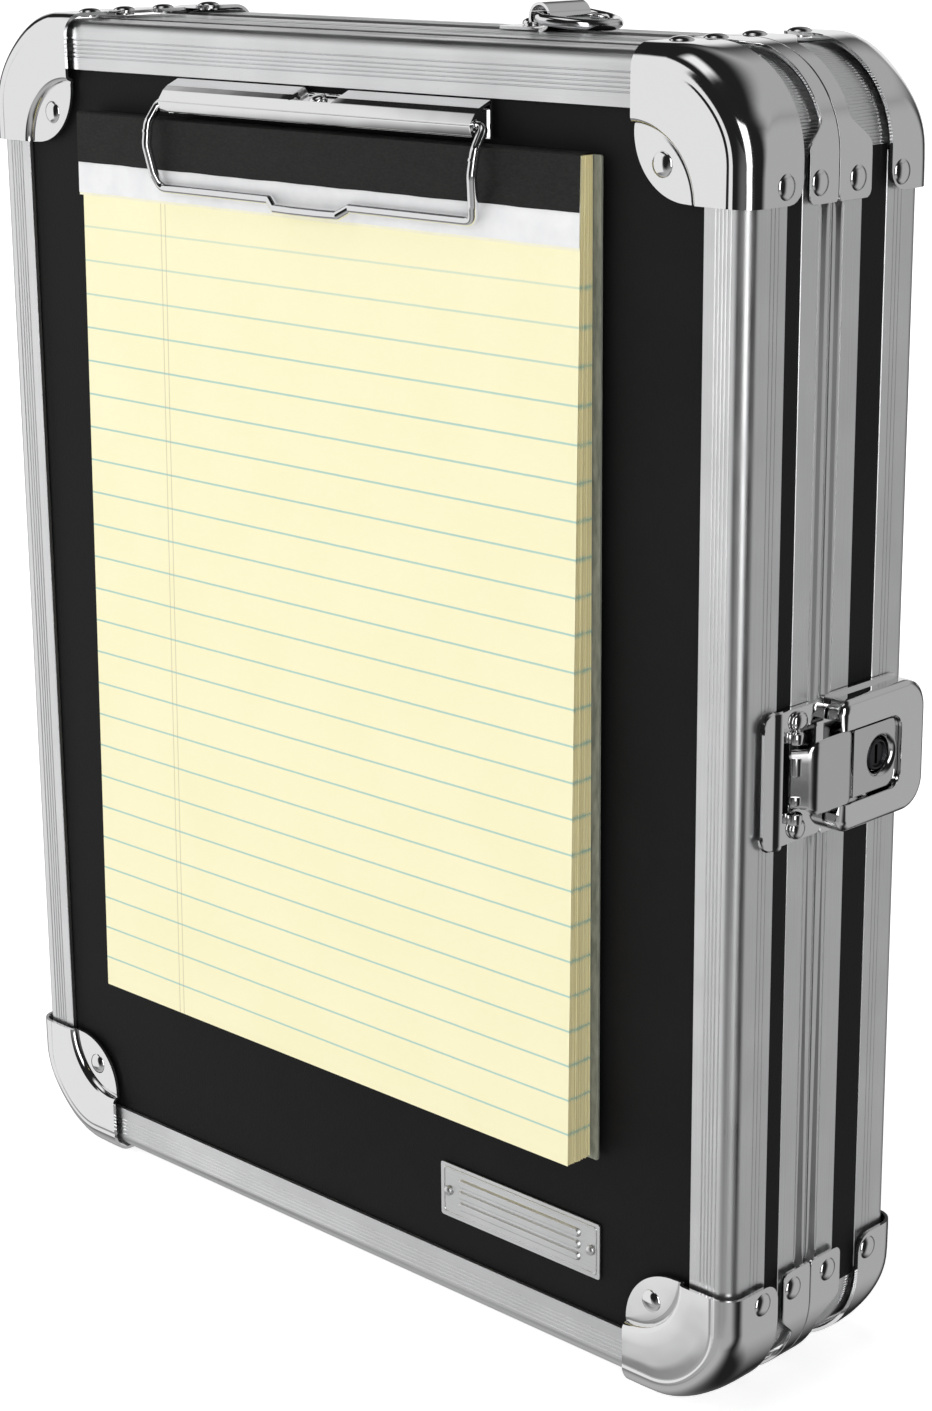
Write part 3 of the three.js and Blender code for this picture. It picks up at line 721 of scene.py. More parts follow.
def strap_grid(spec):
    """Inner skin of a corner strap: wide at its two riveted ends, narrow round the corner."""
    samples, total = corner_line(STRAP_REACH)
    end = spec["depth"] - SHY
    soft = 2.2
    columns = []
    near_ends = {0.2, 0.7, 1.5, total - 0.2, total - 0.7, total - 1.5}
    positions = sorted({round(t, 3) for t in np.linspace(0, total, 60)} | near_ends)
    known = [s[2] for s in samples]
    for t in positions:
        px = np.interp(t, known, [s[0][0] for s in samples])
        pz = np.interp(t, known, [s[0][1] for s in samples])
        from_end = min(t, total - t)
        wide = 1 - smooth((from_end - 12.5) / 7.0)
        width = spec["neck"] + (spec["strap"] - spec["neck"]) * wide
        tab = drawn_in(from_end, soft)
        low, high = end - width + tab, end - tab * 0.35
        columns.append([(px, low + (high - low) * s, pz) for s in (0.0, 0.25, 0.5, 0.75, 1.0)])
    return np.array(columns)


def straps(half, spec):
    """Four straps over the corners of the mating frame, with two rivets each."""
    y = spec["depth"] - 7.2

    def heads(sx, sz):
        """Two heads. Those on the hinge side are low, because they meet when the lid lies open."""
        return Shape().add(side_head(y, 0.55 if sx < 0 else 1.0)).add(top_head(y, sz))

    at_corners(half, "strap", "band", sheet(strap_grid(spec)[:, ::-1], CHROME), heads)


def tray_linings(half, spec):
    """A felt floor and four felt sides inside each tray."""
    back, lip = 4.55, spec["depth"] - 1.6
    inset, radius, felt, wall = 4.8, 19.0, 0.9, 0.8

    def outline(inward):
        """The inside of the tray, moved inward."""
        x, z = WIDTH / 2 - inset - inward, HEIGHT / 2 - inset - inward
        return rounded_rectangle(-x, x, -z, z, radius - inward, 10)

    floor = prism(outline(0.0), "y", back, back + felt)
    levels = ((0.0, back + felt), (0.0, lip), (wall, lip), (wall, back + felt))
    ring = [at_y(depth, outline(inward)) for inward, depth in levels]
    sides = loft(ring, wrap=True)
    make(f"{half}_lining_floor", in_half(floor, half), half, LINING)
    make(f"{half}_lining_sides", in_half(sides, half), half, LINING)


def facings(half, spec):
    """Laminate skins that bring the side boards out to the metal, seen between edge and rim."""
    gap, thick = 0.12, 1.36
    front, back = EDGE_SIDE + gap, spec["depth"] - SHY - spec["rim"] - gap
    for name, (turn, reach, length) in SIDES.items():
        end = length / 2 - 22.75
        outline = rounded_rectangle(reach - gap - thick, reach - gap, front, back, 0.1, 3)
        facing = in_half(prism(outline, "z", -end, end), half, turn=turn)
        make(f"{half}_facing_{name}", facing, half, BLACK, crease=50)


def boards(half):
    """The panels and side boards are shown as they are, in black laminate."""
    for node in [f"{half}_panel"] + [f"{half}_wall_{side}" for side in SIDES]:
        mesh = frame["nodes"][node].data
        mesh.materials.clear()
        mesh.materials.append(BLACK)


for half, spec in HALVES.items():
    boards(half)
    edges(half)
    rims(half, spec)
    posts(half, spec)
    corners(half, spec)
    straps(half, spec)
    tray_linings(half, spec)
    facings(half, spec)

# ---- Clip and pad ------------------------------------------------------------------------------
LEVEL = HEIGHT / 2  # from the case's middle to its aluminium's top
PIVOT_Y, PIVOT_Z = -5.0, 150.7  # the bail's pivot line
BAIL_R = 1.3  # of the bail's wire
BAIL_FOOT = 128.0  # height of the stretch of wire that holds the pad
RULE_TOP, RULE_PITCH, RULES = 114.9, 9.42, 24
MARGIN_X = -60.0  # of the double margin line
MARGIN_HALF = 0.9  # half the distance between its two lines


def flat_ring(outer, inner, low, high, soft=0.0):
    """A plate in y and z with a hole, between two levels of x, its outer edge softened above."""
    loops = [(outer, low), (outer, high - soft)]
    if soft:
        centre = outer.mean(0)
        inward = (centre - outer) / np.linalg.norm(centre - outer, axis=1, keepdims=True)
        loops += [(outer + inward * soft * 0.3, high - soft * 0.3), (outer + inward * soft, high)]
    loops += [(inner, high), (inner, low)]
    return loft([at_x(level, loop) for loop, level in loops], wrap=True)


def around(outline, centre, radius):
    """A circle with a point for each point of an outline, in the same direction from its centre."""
    away = outline - np.array(centre)
    return np.array(centre) + radius * away / np.linalg.norm(away, axis=1, keepdims=True)


def hood_line():
    """The clip plate's outer line in y and z: up the panel, down the slope, round the front."""
    up = [(0.2, 147.4), (0.2, 156.2)]
    slope = [(0.1, 156.55), (-0.3, 156.65), (-0.6, 156.58), (-4.1, 155.1), (-4.35, 154.98)]
    valley = [(-4.5, 154.88), (-5.75, 153.93), (-5.9, 153.78)]
    upper = [(-6.02, 153.6), (-7.6, 151.44), (-7.7, 151.2), (-7.6, 151.05), (-7.74, 150.9)]
    lower = [(-7.7, 150.6), (-7.05, 148.65), (-6.95, 148.45), (-6.6, 148.2)]
    return up, slope, valley, upper, lower


def clip_plate():
    """The clip's hood with its sunk middle, and two ears that carry the bail."""
    low, high = extent("clip_plate")
    half = (high[0] - low[0]) / 2
    up, slope, valley, upper, lower = hood_line()
    line = np.array(up + slope + valley + upper + lower)
    level = [0] * (len(upper) + len(lower))
    sinks = np.array([0, 0.6] + [1.0] * len(slope) + [0.9, 0.2, 0.0] + level)
    edge = [6.4, 6.8, 7.3, 7.9, 8.4]
    stations = [-half, -half + 0.4] + [-x for x in edge[::-1]] + [0.0] + edge + [half - 0.4, half]
    stations += list(np.linspace(-half + 6, -12, 7)) + list(np.linspace(12, half - 6, 7))
    grid = []
    for x in sorted(stations):
        sunk = smooth((8.4 - abs(x)) / 2.0) * 1.5
        column = at_x(x, line)
        column[:, 2] -= sinks * sunk
        column[:, 1] += sinks * sunk * 0.25
        grid.append(column)
    hood = sheet(np.array(grid)[:, ::-1], 0.85)
    make("clip_plate_hood", hood, "lid", CHROME_PLATE, ["clip_plate"], 40)
    outline = densify(rounded_rectangle(-6.7, -0.1, 147.7, 154.3, [2.2, 0.6, 0.6, 2.6], 6), 0.8)
    bore = around(outline, (PIVOT_Y, PIVOT_Z), BAIL_R + 0.25)
    ears = Shape()
    for x in (low[0] + 0.5, high[0] - 1.5):
        ears.add(flat_ring(outline, bore, x, x + 1.0))
    ears.add(dome((0.0, -3.3, 154.0), (0, -0.39, 0.92), 0.72, 0.7))
    make("clip_plate_ears", ears, "lid", CHROME_PLATE, bevel=0.15)


def bail():
    """The sprung wire: a half in order from its pivot to the jog in its middle, then the mirror."""
    front = -7.15
    right = [
        (2.0, PIVOT_Y, PIVOT_Z),
        (60.4, PIVOT_Y, PIVOT_Z),
        (60.9, -9.0, 145.2),
        (60.7, -10.0, 139.6),
        (59.8, -8.6, 132.0),
        (58.5, front, BAIL_FOOT),
        (15.0, front, BAIL_FOOT),
        (11.8, front - 1.3, BAIL_FOOT - 1.9),
        (5.0, front - 1.5, BAIL_FOOT - 2.0),
    ]
    left = [(-x, y, z) for x, y, z in right[::-1]]
    radii = [2.4, 4.0, 6.0, 4.0, 3.2, 0.7, 1.0]
    path = rounded_path(right + left, radii + [8.0, 8.0] + radii[::-1], 8)
    make("clip_wire_bail", tube(path, BAIL_R, 14), "bail", WIRE, ["clip_wire"], 60)
    collars = Shape()
    for side in (-1, 1):
        at = np.array([(60.86 * side, -9.4, 143.4), (60.8 * side, -9.55, 142.7)])
        collars.add(tube(at, BAIL_R + 0.12, 14))
    make("clip_wire_collars", collars, "bail", WIRE)


def clip_coil():
    """Close-wound torsion spring on the pivot line."""
    low, high = extent("clip_spring")
    mean, wire, pitch = 1.62, 0.27, 0.72
    turns = (high[0] - low[0] - 2 * wire) / pitch
    t = np.linspace(0, turns * 2 * math.pi, int(turns * 14))
    x = low[0] + wire + t / (2 * math.pi) * pitch
    path = np.column_stack([x, PIVOT_Y + mean * np.cos(t), PIVOT_Z + mean * np.sin(t)])
    make("clip_spring_coil", tube(path, wire, 6), "lid", STEEL, ["clip_spring"], 80)


def paper():
    """Pale yellow paper: blue-green rules across, a double margin line, faint fibres, painted shade
    on the stack's sides.
    """
    gloss = {"Specular_IOR_Level": 0.15, "Sheen_Weight": 0.05}
    m = Nodes("ruled_paper", (0.93, 0.88, 0.6), 0.0, 0.75, **gloss)
    origin = ORIGIN / MM
    z = m.times(m.axis("Z"), 1 / MM)
    x = m.times(m.axis("X"), 1 / MM)
    facing = m.node("ShaderNodeSeparateXYZ")
    m.set(facing, {"Vector": m.node("ShaderNodeTexCoord").outputs["Normal"]})  # turns with the lid
    front = m.spread(facing.outputs["Y"], -0.6, -0.8, 0.0, 1.0)
    wobble = m.times(m.math("SUBTRACT", m.noise(260.0, detail=2.0), 0.5), 0.12)
    row_z = m.math("ADD", m.math("SUBTRACT", origin[2] + RULE_TOP, z), wobble)
    phase = m.math("PINGPONG", row_z, RULE_PITCH / 2)
    nearest = m.math("ABSOLUTE", phase)
    thin = m.spread(nearest, 0.16, 0.34, 1.0, 0.0)
    wide = m.spread(nearest, 0.3, 1.1, 1.0, 0.0)
    inside = m.times(m.math("GREATER_THAN", row_z, -1.5),
                    m.math("LESS_THAN", row_z, RULE_PITCH * (RULES - 1) + 1.5))
    fading = m.spread(row_z, -RULE_PITCH, RULE_PITCH * 3.5, 0.35, 1.0)
    ink = m.times(m.times(thin, inside), fading)
    patchy = m.spread(m.noise(600.0, detail=2.0), 0.4, 0.6, 0.35, 1.0)
    side_ink = m.times(m.times(wide, inside), patchy)
    from_middle = m.math("ABSOLUTE", m.math("SUBTRACT", x, origin[0] + MARGIN_X))
    from_margin = m.math("ABSOLUTE", m.math("SUBTRACT", from_middle, MARGIN_HALF))
    margin = m.times(m.spread(from_margin, 0.08, 0.24, 1.0, 0.0), front)
    cloud = m.noise(30.0)
    fibre = m.noise(1.0, m.stretched([500.0, 500.0, 1400.0]))
    face = m.blend(cloud, (0.93, 0.885, 0.6), (0.91, 0.865, 0.565))
    face = m.mix(m.spread(fibre, 0.3, 0.7, 0.0, 0.12), face, (0.86, 0.8, 0.5))
    # On the stack's sides the paper is painted darker and browner, in streaks along the leaves:
    # painted shade of the sides and of the gaps between the leaves.
    painted_leaf_shade = m.noise(1.0, m.stretched([60.0, 3400.0, 5.0]), detail=2.0)
    edge = m.blend(painted_leaf_shade, (0.56, 0.47, 0.22), (0.86, 0.78, 0.45))
    plain = m.mix(front, edge, face)
    colour = m.mix(m.times(ink, front), plain, (0.42, 0.62, 0.55))
    # The rules' ink on the sides is a darker copy of the ink on the front: painted shade.
    side = m.times(side_ink, m.math("SUBTRACT", 1.0, front))
    colour = m.mix(m.times(side, 0.75), colour, (0.22, 0.42, 0.36))
    colour = m.mix(m.times(margin, 0.55), colour, (0.45, 0.36, 0.24))
    m.colour(colour)
    m.bump(fibre, 0.06, 0.0001)
    return m.material


def binding_tape():
    """Black cloth tape over the pad's head."""
    m = Nodes("binding_tape", (0.019, 0.019, 0.019), 0.0, 0.6, Specular_IOR_Level=0.3)
    weave = m.noise(1.0, m.stretched([900.0, 900.0, 2600.0]))
    cloud = m.noise(110.0, detail=4.0)
    both = m.math("ADD", weave, cloud)
    m.colour(m.blend(both, (0.006, 0.0059, 0.0058), (0.019, 0.0183, 0.0176), 0.7, 1.3))
    m.roughness(m.spread(cloud, 0.3, 0.7, 0.5, 0.75))
    m.bump(both, 0.5, 0.00025)
    return m.material


def white_card():
    """White paper strip below the tape."""
    m = Nodes("white_strip", (0.8, 0.8, 0.81), 0.0, 0.7, Specular_IOR_Level=0.2)
    cloud = m.noise(120.0, detail=5.0)
    m.colour(m.blend(cloud, (0.76, 0.765, 0.775), (0.85, 0.85, 0.855)))
    m.bump(cloud, 0.1, 0.0002)
    return m.material


def paper_stub():
    """Pale paper showing at the strip's lower edge."""
    m = Nodes("paper_stub", (0.88, 0.86, 0.68), 0.0, 0.8, Specular_IOR_Level=0.15)
    m.colour(m.mix(m.noise(400.0), (0.9, 0.88, 0.7), (0.82, 0.79, 0.6)))
    return m.material


def chipboard():
    """Grey board behind the pad, its fibres lying across."""
    m = Nodes("chipboard", (0.22, 0.23, 0.19), 0.0, 0.85, Specular_IOR_Level=0.2)
    fibre = m.noise(1.0, m.stretched([700.0, 2500.0, 160.0]), detail=5.0)
    m.colour(m.blend(fibre, (0.16, 0.17, 0.14), (0.31, 0.32, 0.26)))
    m.bump(fibre, 0.35, 0.0002)
    return m.material


TAPE_LOW, STRIP_LOW = 132.6, 124.3  # lower edges of the binding tape and of the white strip
LEAVES = 34


def pad():
    """The pad: loose leaves bound at the head by tape and a white strip, on a board."""
    low, high = extent("pad_sheets")
    back_low, back_high = extent("pad_backing")
    left, right, bottom, top = low[0] + 1.5, high[0], low[2], high[2]
    back = high[1]
    rng = np.random.default_rng(7)

    def front(z):
        """The pad's front face leans: it is thinner under the clip."""
        return np.interp(z, [bottom, top - 22, top], [low[1], -5.7, -5.2])

    def leaf(index):
        """One sheet: its edges a little out of line, its foot splayed forward."""
        dx, dz, skew = rng.normal(0, 0.11), abs(rng.normal(0, 0.22)), rng.normal(0, 0.1)
        lift = rng.normal(0, 0.05)
        share, pitch = index / LEAVES, 1.0 / LEAVES
        below = np.linspace(STRIP_LOW, bottom + 4, 26)
        heights = np.concatenate([[top], below, [bottom + 1.5, bottom]])
        places = np.array([0.0, 0.004, 0.1, 0.3, 0.5, 0.7, 0.85, 0.93, 0.98, 0.997, 1.0])
        grid = []
        for z in heights:
            t = (top - z) / (top - bottom)
            room = back - front(z)
            y0 = front(z) + room * share
            thick = room * pitch * (0.995 - 0.3 * t * t)
            columns = []
            for s in places:
                corner = smooth((s - 0.8) / 0.2) * smooth((0.12 - (1 - t)) / 0.12)
                curl = 0.22 * corner * (1 - share)
                x = left + (right - left) * s + (dx + skew * t) * (0.4 + 0.6 * s)
                foot = z + (dz * t * t if index else 0.0)
                y = y0 + lift * t * thick + curl * 0.4
                columns.append((min(x, high[0] + 0.3), y, foot, thick))
            grid.append(columns)
        return np.array(grid)

    shape = Shape()
    for index in range(LEAVES):
        grid = leaf(index)
        ahead = grid[:, :, :3]
        behind = ahead.copy()
        behind[:, :, 1] += grid[:, :, 3]
        shape.add(between(ahead, behind))
    make("pad_leaves", shape, "pad", paper(), ["pad_sheets"], 30)

    def band(name, lower, upper, proud, thick, over, material, x_end):
        """A strip across the head with an uneven lower edge, folded over the top if over."""
        line = [(front(z) - proud, z) for z in np.linspace(lower, upper, 6)]
        if over:
            line += [(front(upper) - proud + 0.3, upper + 0.28), (front(upper) + 0.6, upper + 0.42)]
            line += [(back - 0.4, upper + 0.42), (back - 0.05, upper + 0.1)]
            line.append((back - 0.02, upper - 2.0))
        xs = np.linspace(low[0], x_end, 40)
        ragged = 0.05 * np.sin(xs * 1.7) + 0.05 * np.sin(xs * 4.1 + 1.0)
        grid = []
        for x, shift in zip(xs, ragged):
            column = [(x, y, z) for y, z in line]
            column[0] = (x, column[0][1], column[0][2] + shift)
            grid.append(column)
        make(name, sheet(np.array(grid), -thick), "pad", material, crease=40)

    band("pad_head_strip", STRIP_LOW, TAPE_LOW + 2, 0.16, 0.12, False, white_card(), right - 0.1)
    band("pad_stub", STRIP_LOW - 0.75, STRIP_LOW + 1, 0.06, 0.05, False, paper_stub(), right - 0.1)
    band("pad_binding_tape", TAPE_LOW, top, 0.36, 0.16, True, binding_tape(), right - 0.05)
    outline = rounded_rectangle(back_low[0], back_high[0], back_low[2], back_high[2], 0.5, 4)
    board = prism(outline, "y", back_low[1], back_high[1])
    make("pad_backing_board", board, "pad", chipboard(), ["pad_backing"], bevel=0.12)


def nameplate():
    """A stamped plate with two rivets, three plain ribs and a raised border."""
    back = extent("nameplate")[1][1]
    u0, u1, v0, v1 = 35.6, 93.9, -146.2, -130.3  # its left, right, lower and upper edges
    face = back - 0.6
    shape = Shape()
    outline = rounded_rectangle(u0, u1, v0, v1, 0.8, 5)
    shape.add(prism(outline, "y", face, back))

    def raised(a, b, c, d, r, height, soft):
        """A rib with rounded ends and soft shoulders."""
        loops = []
        for inset, level in ((-soft, 0.1), (0.0, -height * 0.7), (soft * 0.6, -height)):
            radius = max(r - inset, 0.15)
            edge = rounded_rectangle(a + inset, b - inset, c + inset, d - inset, radius, 5)
            loops.append(at_y(face + level, edge))
        shape.add(loft(loops))

    for rib in (-1, 0, 1):
        mid = (v0 + v1) / 2 + rib * 3.4
        raised(42.6, 86.9, mid - 1.05, mid + 1.05, 1.0, 0.7, 0.4)
    ring = []
    for inset, level in ((0.9, 0.1), (1.1, -0.22), (1.45, -0.22), (1.65, 0.1)):
        edge = rounded_rectangle(u0 + inset, u1 - inset, v0 + inset, v1 - inset, 0.8, 5)
        ring.append(at_y(face + level, edge))
    shape.add(loft(ring, wrap=True))
    for x in (38.6, 90.9):
        shape.add(dome((x, face, -138.3), (0, -1, 0), 0.45, 0.6))
    make("nameplate_stamped", shape, "lid", PLATE, ["nameplate"], 35, 0.08)


# ---- Latch -------------------------------------------------------------------------------------
SIDE_X = WIDTH / 2 + 0.3  # the plane that the latch's plates lie on
LATCH_Z = -1.6  # height of the latch's middle
PIN = (141.3, 17.6)  # the hasp's pin, in x and y
KEY_Y, KEY_Z = 48.2, LATCH_Z - 0.4


def hasp_plate():
    """The lid's stamped plate: a margin that laps over a raised deck, open over the hasp's pin."""
    low, high = extent("hasp_plate")
    deck, sheet_t = SIDE_X + 1.6, 0.8
    y0, y1, half = low[1], high[1], 17.0
    shape = Shape()
    line = [(SIDE_X + 0.85, y) for y in (y0, y0 + 0.35, y0 + 1.2, y0 + 2.4, y0 + 3.5, y0 + 4.0)]
    line += [(SIDE_X + 1.05, y0 + 4.5), (deck - 0.25, y0 + 5.2), (deck, y0 + 5.7), (deck, y0 + 6.4)]
    grid = []
    for x, y in line:
        spread = np.array([-1.0, -0.99, -0.96, -0.5, 0.0, 0.5, 0.96, 0.99, 1.0])
        spread *= half - drawn_in(y - y0, 3.6)
        sink = np.array([0.25, 0.06, 0, 0, 0, 0, 0, 0.06, 0.25])
        grid.append([(x - s, y, LATCH_Z + z) for z, s in zip(spread, sink)])
    shape.add(sheet(np.array(grid)[:, ::-1], sheet_t))
    radii = [0.3, 2.0, 2.0, 0.3]
    outline = rounded_rectangle(y0 + 6.0, y1, LATCH_Z - half, LATCH_Z + half, radii, 6)
    window = rounded_rectangle(y0 + 6.8, 21.2, LATCH_Z - 8.7, LATCH_Z + 8.7, 0.6, 6)
    shape.add(flat_ring(outline, window, SIDE_X, deck, 0.3))
    make("hasp_plate_deck", shape, "lid", CHROME_PLATE, ["hasp_plate"], 30)
    heads = Shape()
    knuckle = [(0, -1.4), (1.7, -1.4), (2.0, -1.1), (2.0, 1.1), (1.7, 1.4), (0, 1.4)]
    for side in (-1, 1):
        heads.add(dome((deck, 20.0, LATCH_Z + side * 13.6), (1, 0, 0), 0.84, 1.0))
        ear = LATCH_Z + side * 10.2
        heads.add(lathe(knuckle, (*PIN, ear), (0, 0, 1)))
    make("hasp_plate_rivets", heads, "lid", CHROME_PLATE, crease=50)


def hasp():
    """A square leaf, thickened outward, whose left edge bends down to a knuckle round the pin."""
    face, y1, half = extent("hasp")[1][0], 33.6, 8.6
    line = rounded_path([(face, y1), (face, 20.2), (PIN[0] - 0.6, PIN[1] - 0.9)], [3.2], 10)
    spans = np.array([-1.0, -0.985, -0.95, -0.6, -0.2, 0.2, 0.6, 0.95, 0.985, 1.0])
    drops = np.array([0.3, 0.07, 0, 0, 0, 0, 0, 0, 0.07, 0.3])
    grid = []
    dense = [line[0] + (line[1] - line[0]) * t for t in (0.0, 0.03, 0.1, 0.4, 0.7)] + list(line[1:])
    for index, (x, y) in enumerate(dense):
        cut = min(drawn_in(y - 18.2, 4.6), 2.0)
        lip = 0.25 if index == 0 else 0.0
        grid.append([(x - d - lip, y, LATCH_Z + s * (half - cut)) for s, d in zip(spans, drops)])
    shape = Shape()
    shape.add(sheet(np.array(grid)[::-1][:, ::-1], 1.0))
    for centre, length in ((3.2, 4.6), (-5.4, 2.2)):
        end = length / 2
        roll = [(0, -end), (1.85, -end), (2.0, -end + 0.25)]
        roll += [(2.0, end - 0.25), (1.85, end), (0, end)]
        shape.add(lathe(roll, (*PIN, LATCH_Z + centre), (0, 0, 1)))
    rod = [(0, -7.6), (0.75, -7.6), (0.75, 7.6), (0, 7.6)]
    shape.add(lathe(rod, (*PIN, LATCH_Z), (0, 0, 1), 14))
    hook = rounded_rectangle(SIDE_X + 2.6, face - 0.8, 30.6, 31.8, [0.4, 0.1, 0.1, 0.4], 4)
    shape.add(prism(hook, "z", LATCH_Z - 4, LATCH_Z + 4))
    make("hasp_leaf", shape, "hasp", CHROME_WORN, ["hasp"], 32)


def bezel():
    """The lock's pressed U-shaped cover, rolled down on all sides, over a flat foot."""
    high = extent("lock_bezel")[1]
    face, y0, y1, z0, z1 = high[0], 31.2, high[1], LATCH_Z - 17.2, LATCH_Z + 16.8
    slot_end, s0, s1 = 55.0, LATCH_Z - 9.6, LATCH_Z + 9.4
    roll = 2.4

    def u_loop(level, inset, slot_level, side_out, end_out):
        """The U's outline: its outer edge at one level of x, its slot's edge at another."""
        left, right, low_z, high_z = y0 + inset, y1 - inset, z0 + inset, z1 - inset
        small, big, inner = max(3.4 - inset, 0.3), max(8.0 - inset, 0.5), 4.0
        end, a, b = slot_end + end_out, s0 - side_out, s1 + side_out
        outer = np.concatenate([
            arc((left + small, low_z + small), small, 180, 270, 8),
            arc((right - big, low_z + big), big, 270, 360, 12),
            arc((right - big, high_z - big), big, 0, 90, 12),
            arc((left + small, high_z - small), small, 90, 180, 8),
        ])
        slot = np.concatenate([
            [(left, b)],
            arc((end - inner, b - inner), inner, 90, 0, 8),
            arc((end - inner, a + inner), inner, 0, -90, 8),
            [(left, a)],
        ])
        return np.concatenate([at_x(level, outer), at_x(slot_level, slot)])

    lip, foot_t = 0.95, 0.9
    ceiling = face - lip
    loops = [u_loop(SIDE_X + foot_t, 0.0, SIDE_X + foot_t, 2.4, 8.6)]
    loops.append(u_loop(face - roll, 0.0, ceiling, 2.4, 8.6))
    for step, turn in enumerate(np.radians(np.linspace(0, 90, 9))[1:]):
        rise = min(1.0, step / 5)
        soft = 0.45 * max(0.0, (step - 4) / 3) ** 2
        level, inset = face - roll + roll * math.sin(turn), roll * (1 - math.cos(turn))
        loops.append(u_loop(level, inset, ceiling + lip * rise, soft, soft))
    lean = 0.035
    for loop in loops[4:]:
        loop[:, 0] -= np.clip(loop[:, 1] - slot_end, 0.0, None) * lean
    shape = Shape().add(loft(loops))
    foot = rounded_rectangle(y0 - 0.2, 60.0, z0 - 0.6, z1 + 0.8, 0.6, 4)
    shape.add(prism(foot, "x", SIDE_X, SIDE_X + foot_t))
    make("lock_bezel_cover", shape, "base", CHROME_PLATE, ["lock_bezel"], 32)


def slider():
    """The lock's slider, undercut at its left and top, dished round the key."""
    low, high = extent("lock_slider")
    left, top = low[1] + 0.7, high[2] - 0.55
    outline = densify(rounded_rectangle(left, high[1], low[2], top, [0.6, 3.0, 3.0, 0.6], 8), 0.7)
    centre = (KEY_Y, KEY_Z)
    mid = outline.mean(0)
    inward = (mid - outline) / np.linalg.norm(mid - outline, axis=1, keepdims=True)
    hollow = [np.maximum(outline[:, 0], left + 2.5), np.minimum(outline[:, 1], top - 1.6)]
    hollow = np.column_stack(hollow)
    face = high[0]
    loops = [(low[0], hollow), (face - 0.95, hollow), (face - 0.9, outline)]
    loops += [(face - 0.4, outline), (face - 0.12, outline + inward * 0.12)]
    loops.append((face, outline + inward * 0.42))
    for radius, drop in ((6.3, 0.0), (5.9, 0.06), (5.4, 0.3), (4.9, 0.8), (4.6, 1.3), (4.45, 2.2)):
        loops.append((face - drop, around(outline, centre, radius)))
    loops.append((low[0], around(outline, centre, 4.3)))
    body = loft([at_x(level, loop) for level, loop in loops], wrap=True)
    make("lock_slider_body", body, "slider", CHROME_WORN, ["lock_slider"], 32)


def key():
    """The key cylinder, with a sunk face and an upright keyway."""
    low, high = extent("key_cylinder")
    keyway = rounded_rectangle(KEY_Y - 0.55, KEY_Y + 0.55, KEY_Z - 2.5, KEY_Z + 2.5, 0.3, 4)
    keyway = densify(keyway, 0.25)
    radius, face = 4.0, high[0]
    steps = [(low[0], radius), (face - 0.9, radius), (face - 0.5, radius - 0.25)]
    steps += [(face - 0.4, radius - 0.7), (face - 1.0, 2.9)]
    rings = [(x, around(keyway, (KEY_Y, KEY_Z), r)) for x, r in steps]
    rings += [(face - 1.05, keyway), (face - 2.6, keyway)]
    barrel = loft([at_x(level, ring) for level, ring in rings])
    make("key_cylinder_face", barrel, "key", DARK, ["key_cylinder"], 30)


# ---- Ring and hinge ----------------------------------------------------------------------------
RING_X, RING_Y, RING_Z = 36.0, 48.5, LEVEL + 3.7


def ring_bracket():
    """A riveted strap whose end is rolled round the ring's straight stretch, thickened outward."""
    low, high = extent("ring_bracket")
    flat = LEVEL + 0.3 + 0.85
    end_r = 2.6
    line = [(low[0] + run, flat) for run in (0.0, 0.4, 1.5, 3.0)]
    line += [(31.0, flat), (34.4, flat)]
    line += list(arc((RING_X, RING_Z), 3.0, -100, 205, 28))
    grid = []
    for x, z in line:
        half = (high[1] - low[1]) / 2
        if z <= flat:
            half -= drawn_in(x - low[0], end_r)
        if z > flat + 0.3 or x > 34.5:
            half -= 0.8
        grid.append([(x, RING_Y + half * s, z) for s in (-1.0, -0.97, -0.5, 0.0, 0.5, 0.97, 1.0)])
    shape = Shape().add(sheet(np.array(grid), 0.75))
    shape.add(dome((low[0] + 5.5, RING_Y, flat), (0, 0, 1), 0.84, 1.0))
    make("ring_bracket_roll", shape, "base", CHROME_PLATE, ["ring_bracket"], 40)


def d_ring():
    """The carrying ring: a bow, two short shoulders and the straight stretch in the bracket."""
    half, reach, drop, straight = 10.6, 16.8, 1.8, 4.0
    path = []
    for a in np.linspace(-math.pi / 2, math.pi / 2, 25):
        along = straight + (reach - straight) * math.cos(a)
        path.append((RING_X + along, RING_Y + half * math.sin(a), RING_Z - drop * along / reach))
    for s in (0.93, 0.8):
        path.append((RING_X + straight * (s - 0.75) * 2.2, RING_Y + half * s, RING_Z))
    for s in np.linspace(0.68, -0.68, 7):
        path.append((RING_X, RING_Y + half * s, RING_Z))
    for s in (-0.8, -0.93):
        path.append((RING_X + straight * (-s - 0.75) * 2.2, RING_Y + half * s, RING_Z))
    wire = tube(path, 1.45, 16, closed=True)
    make("d_ring_wire", wire, "ring", WIRE, ["d_ring"], 60)


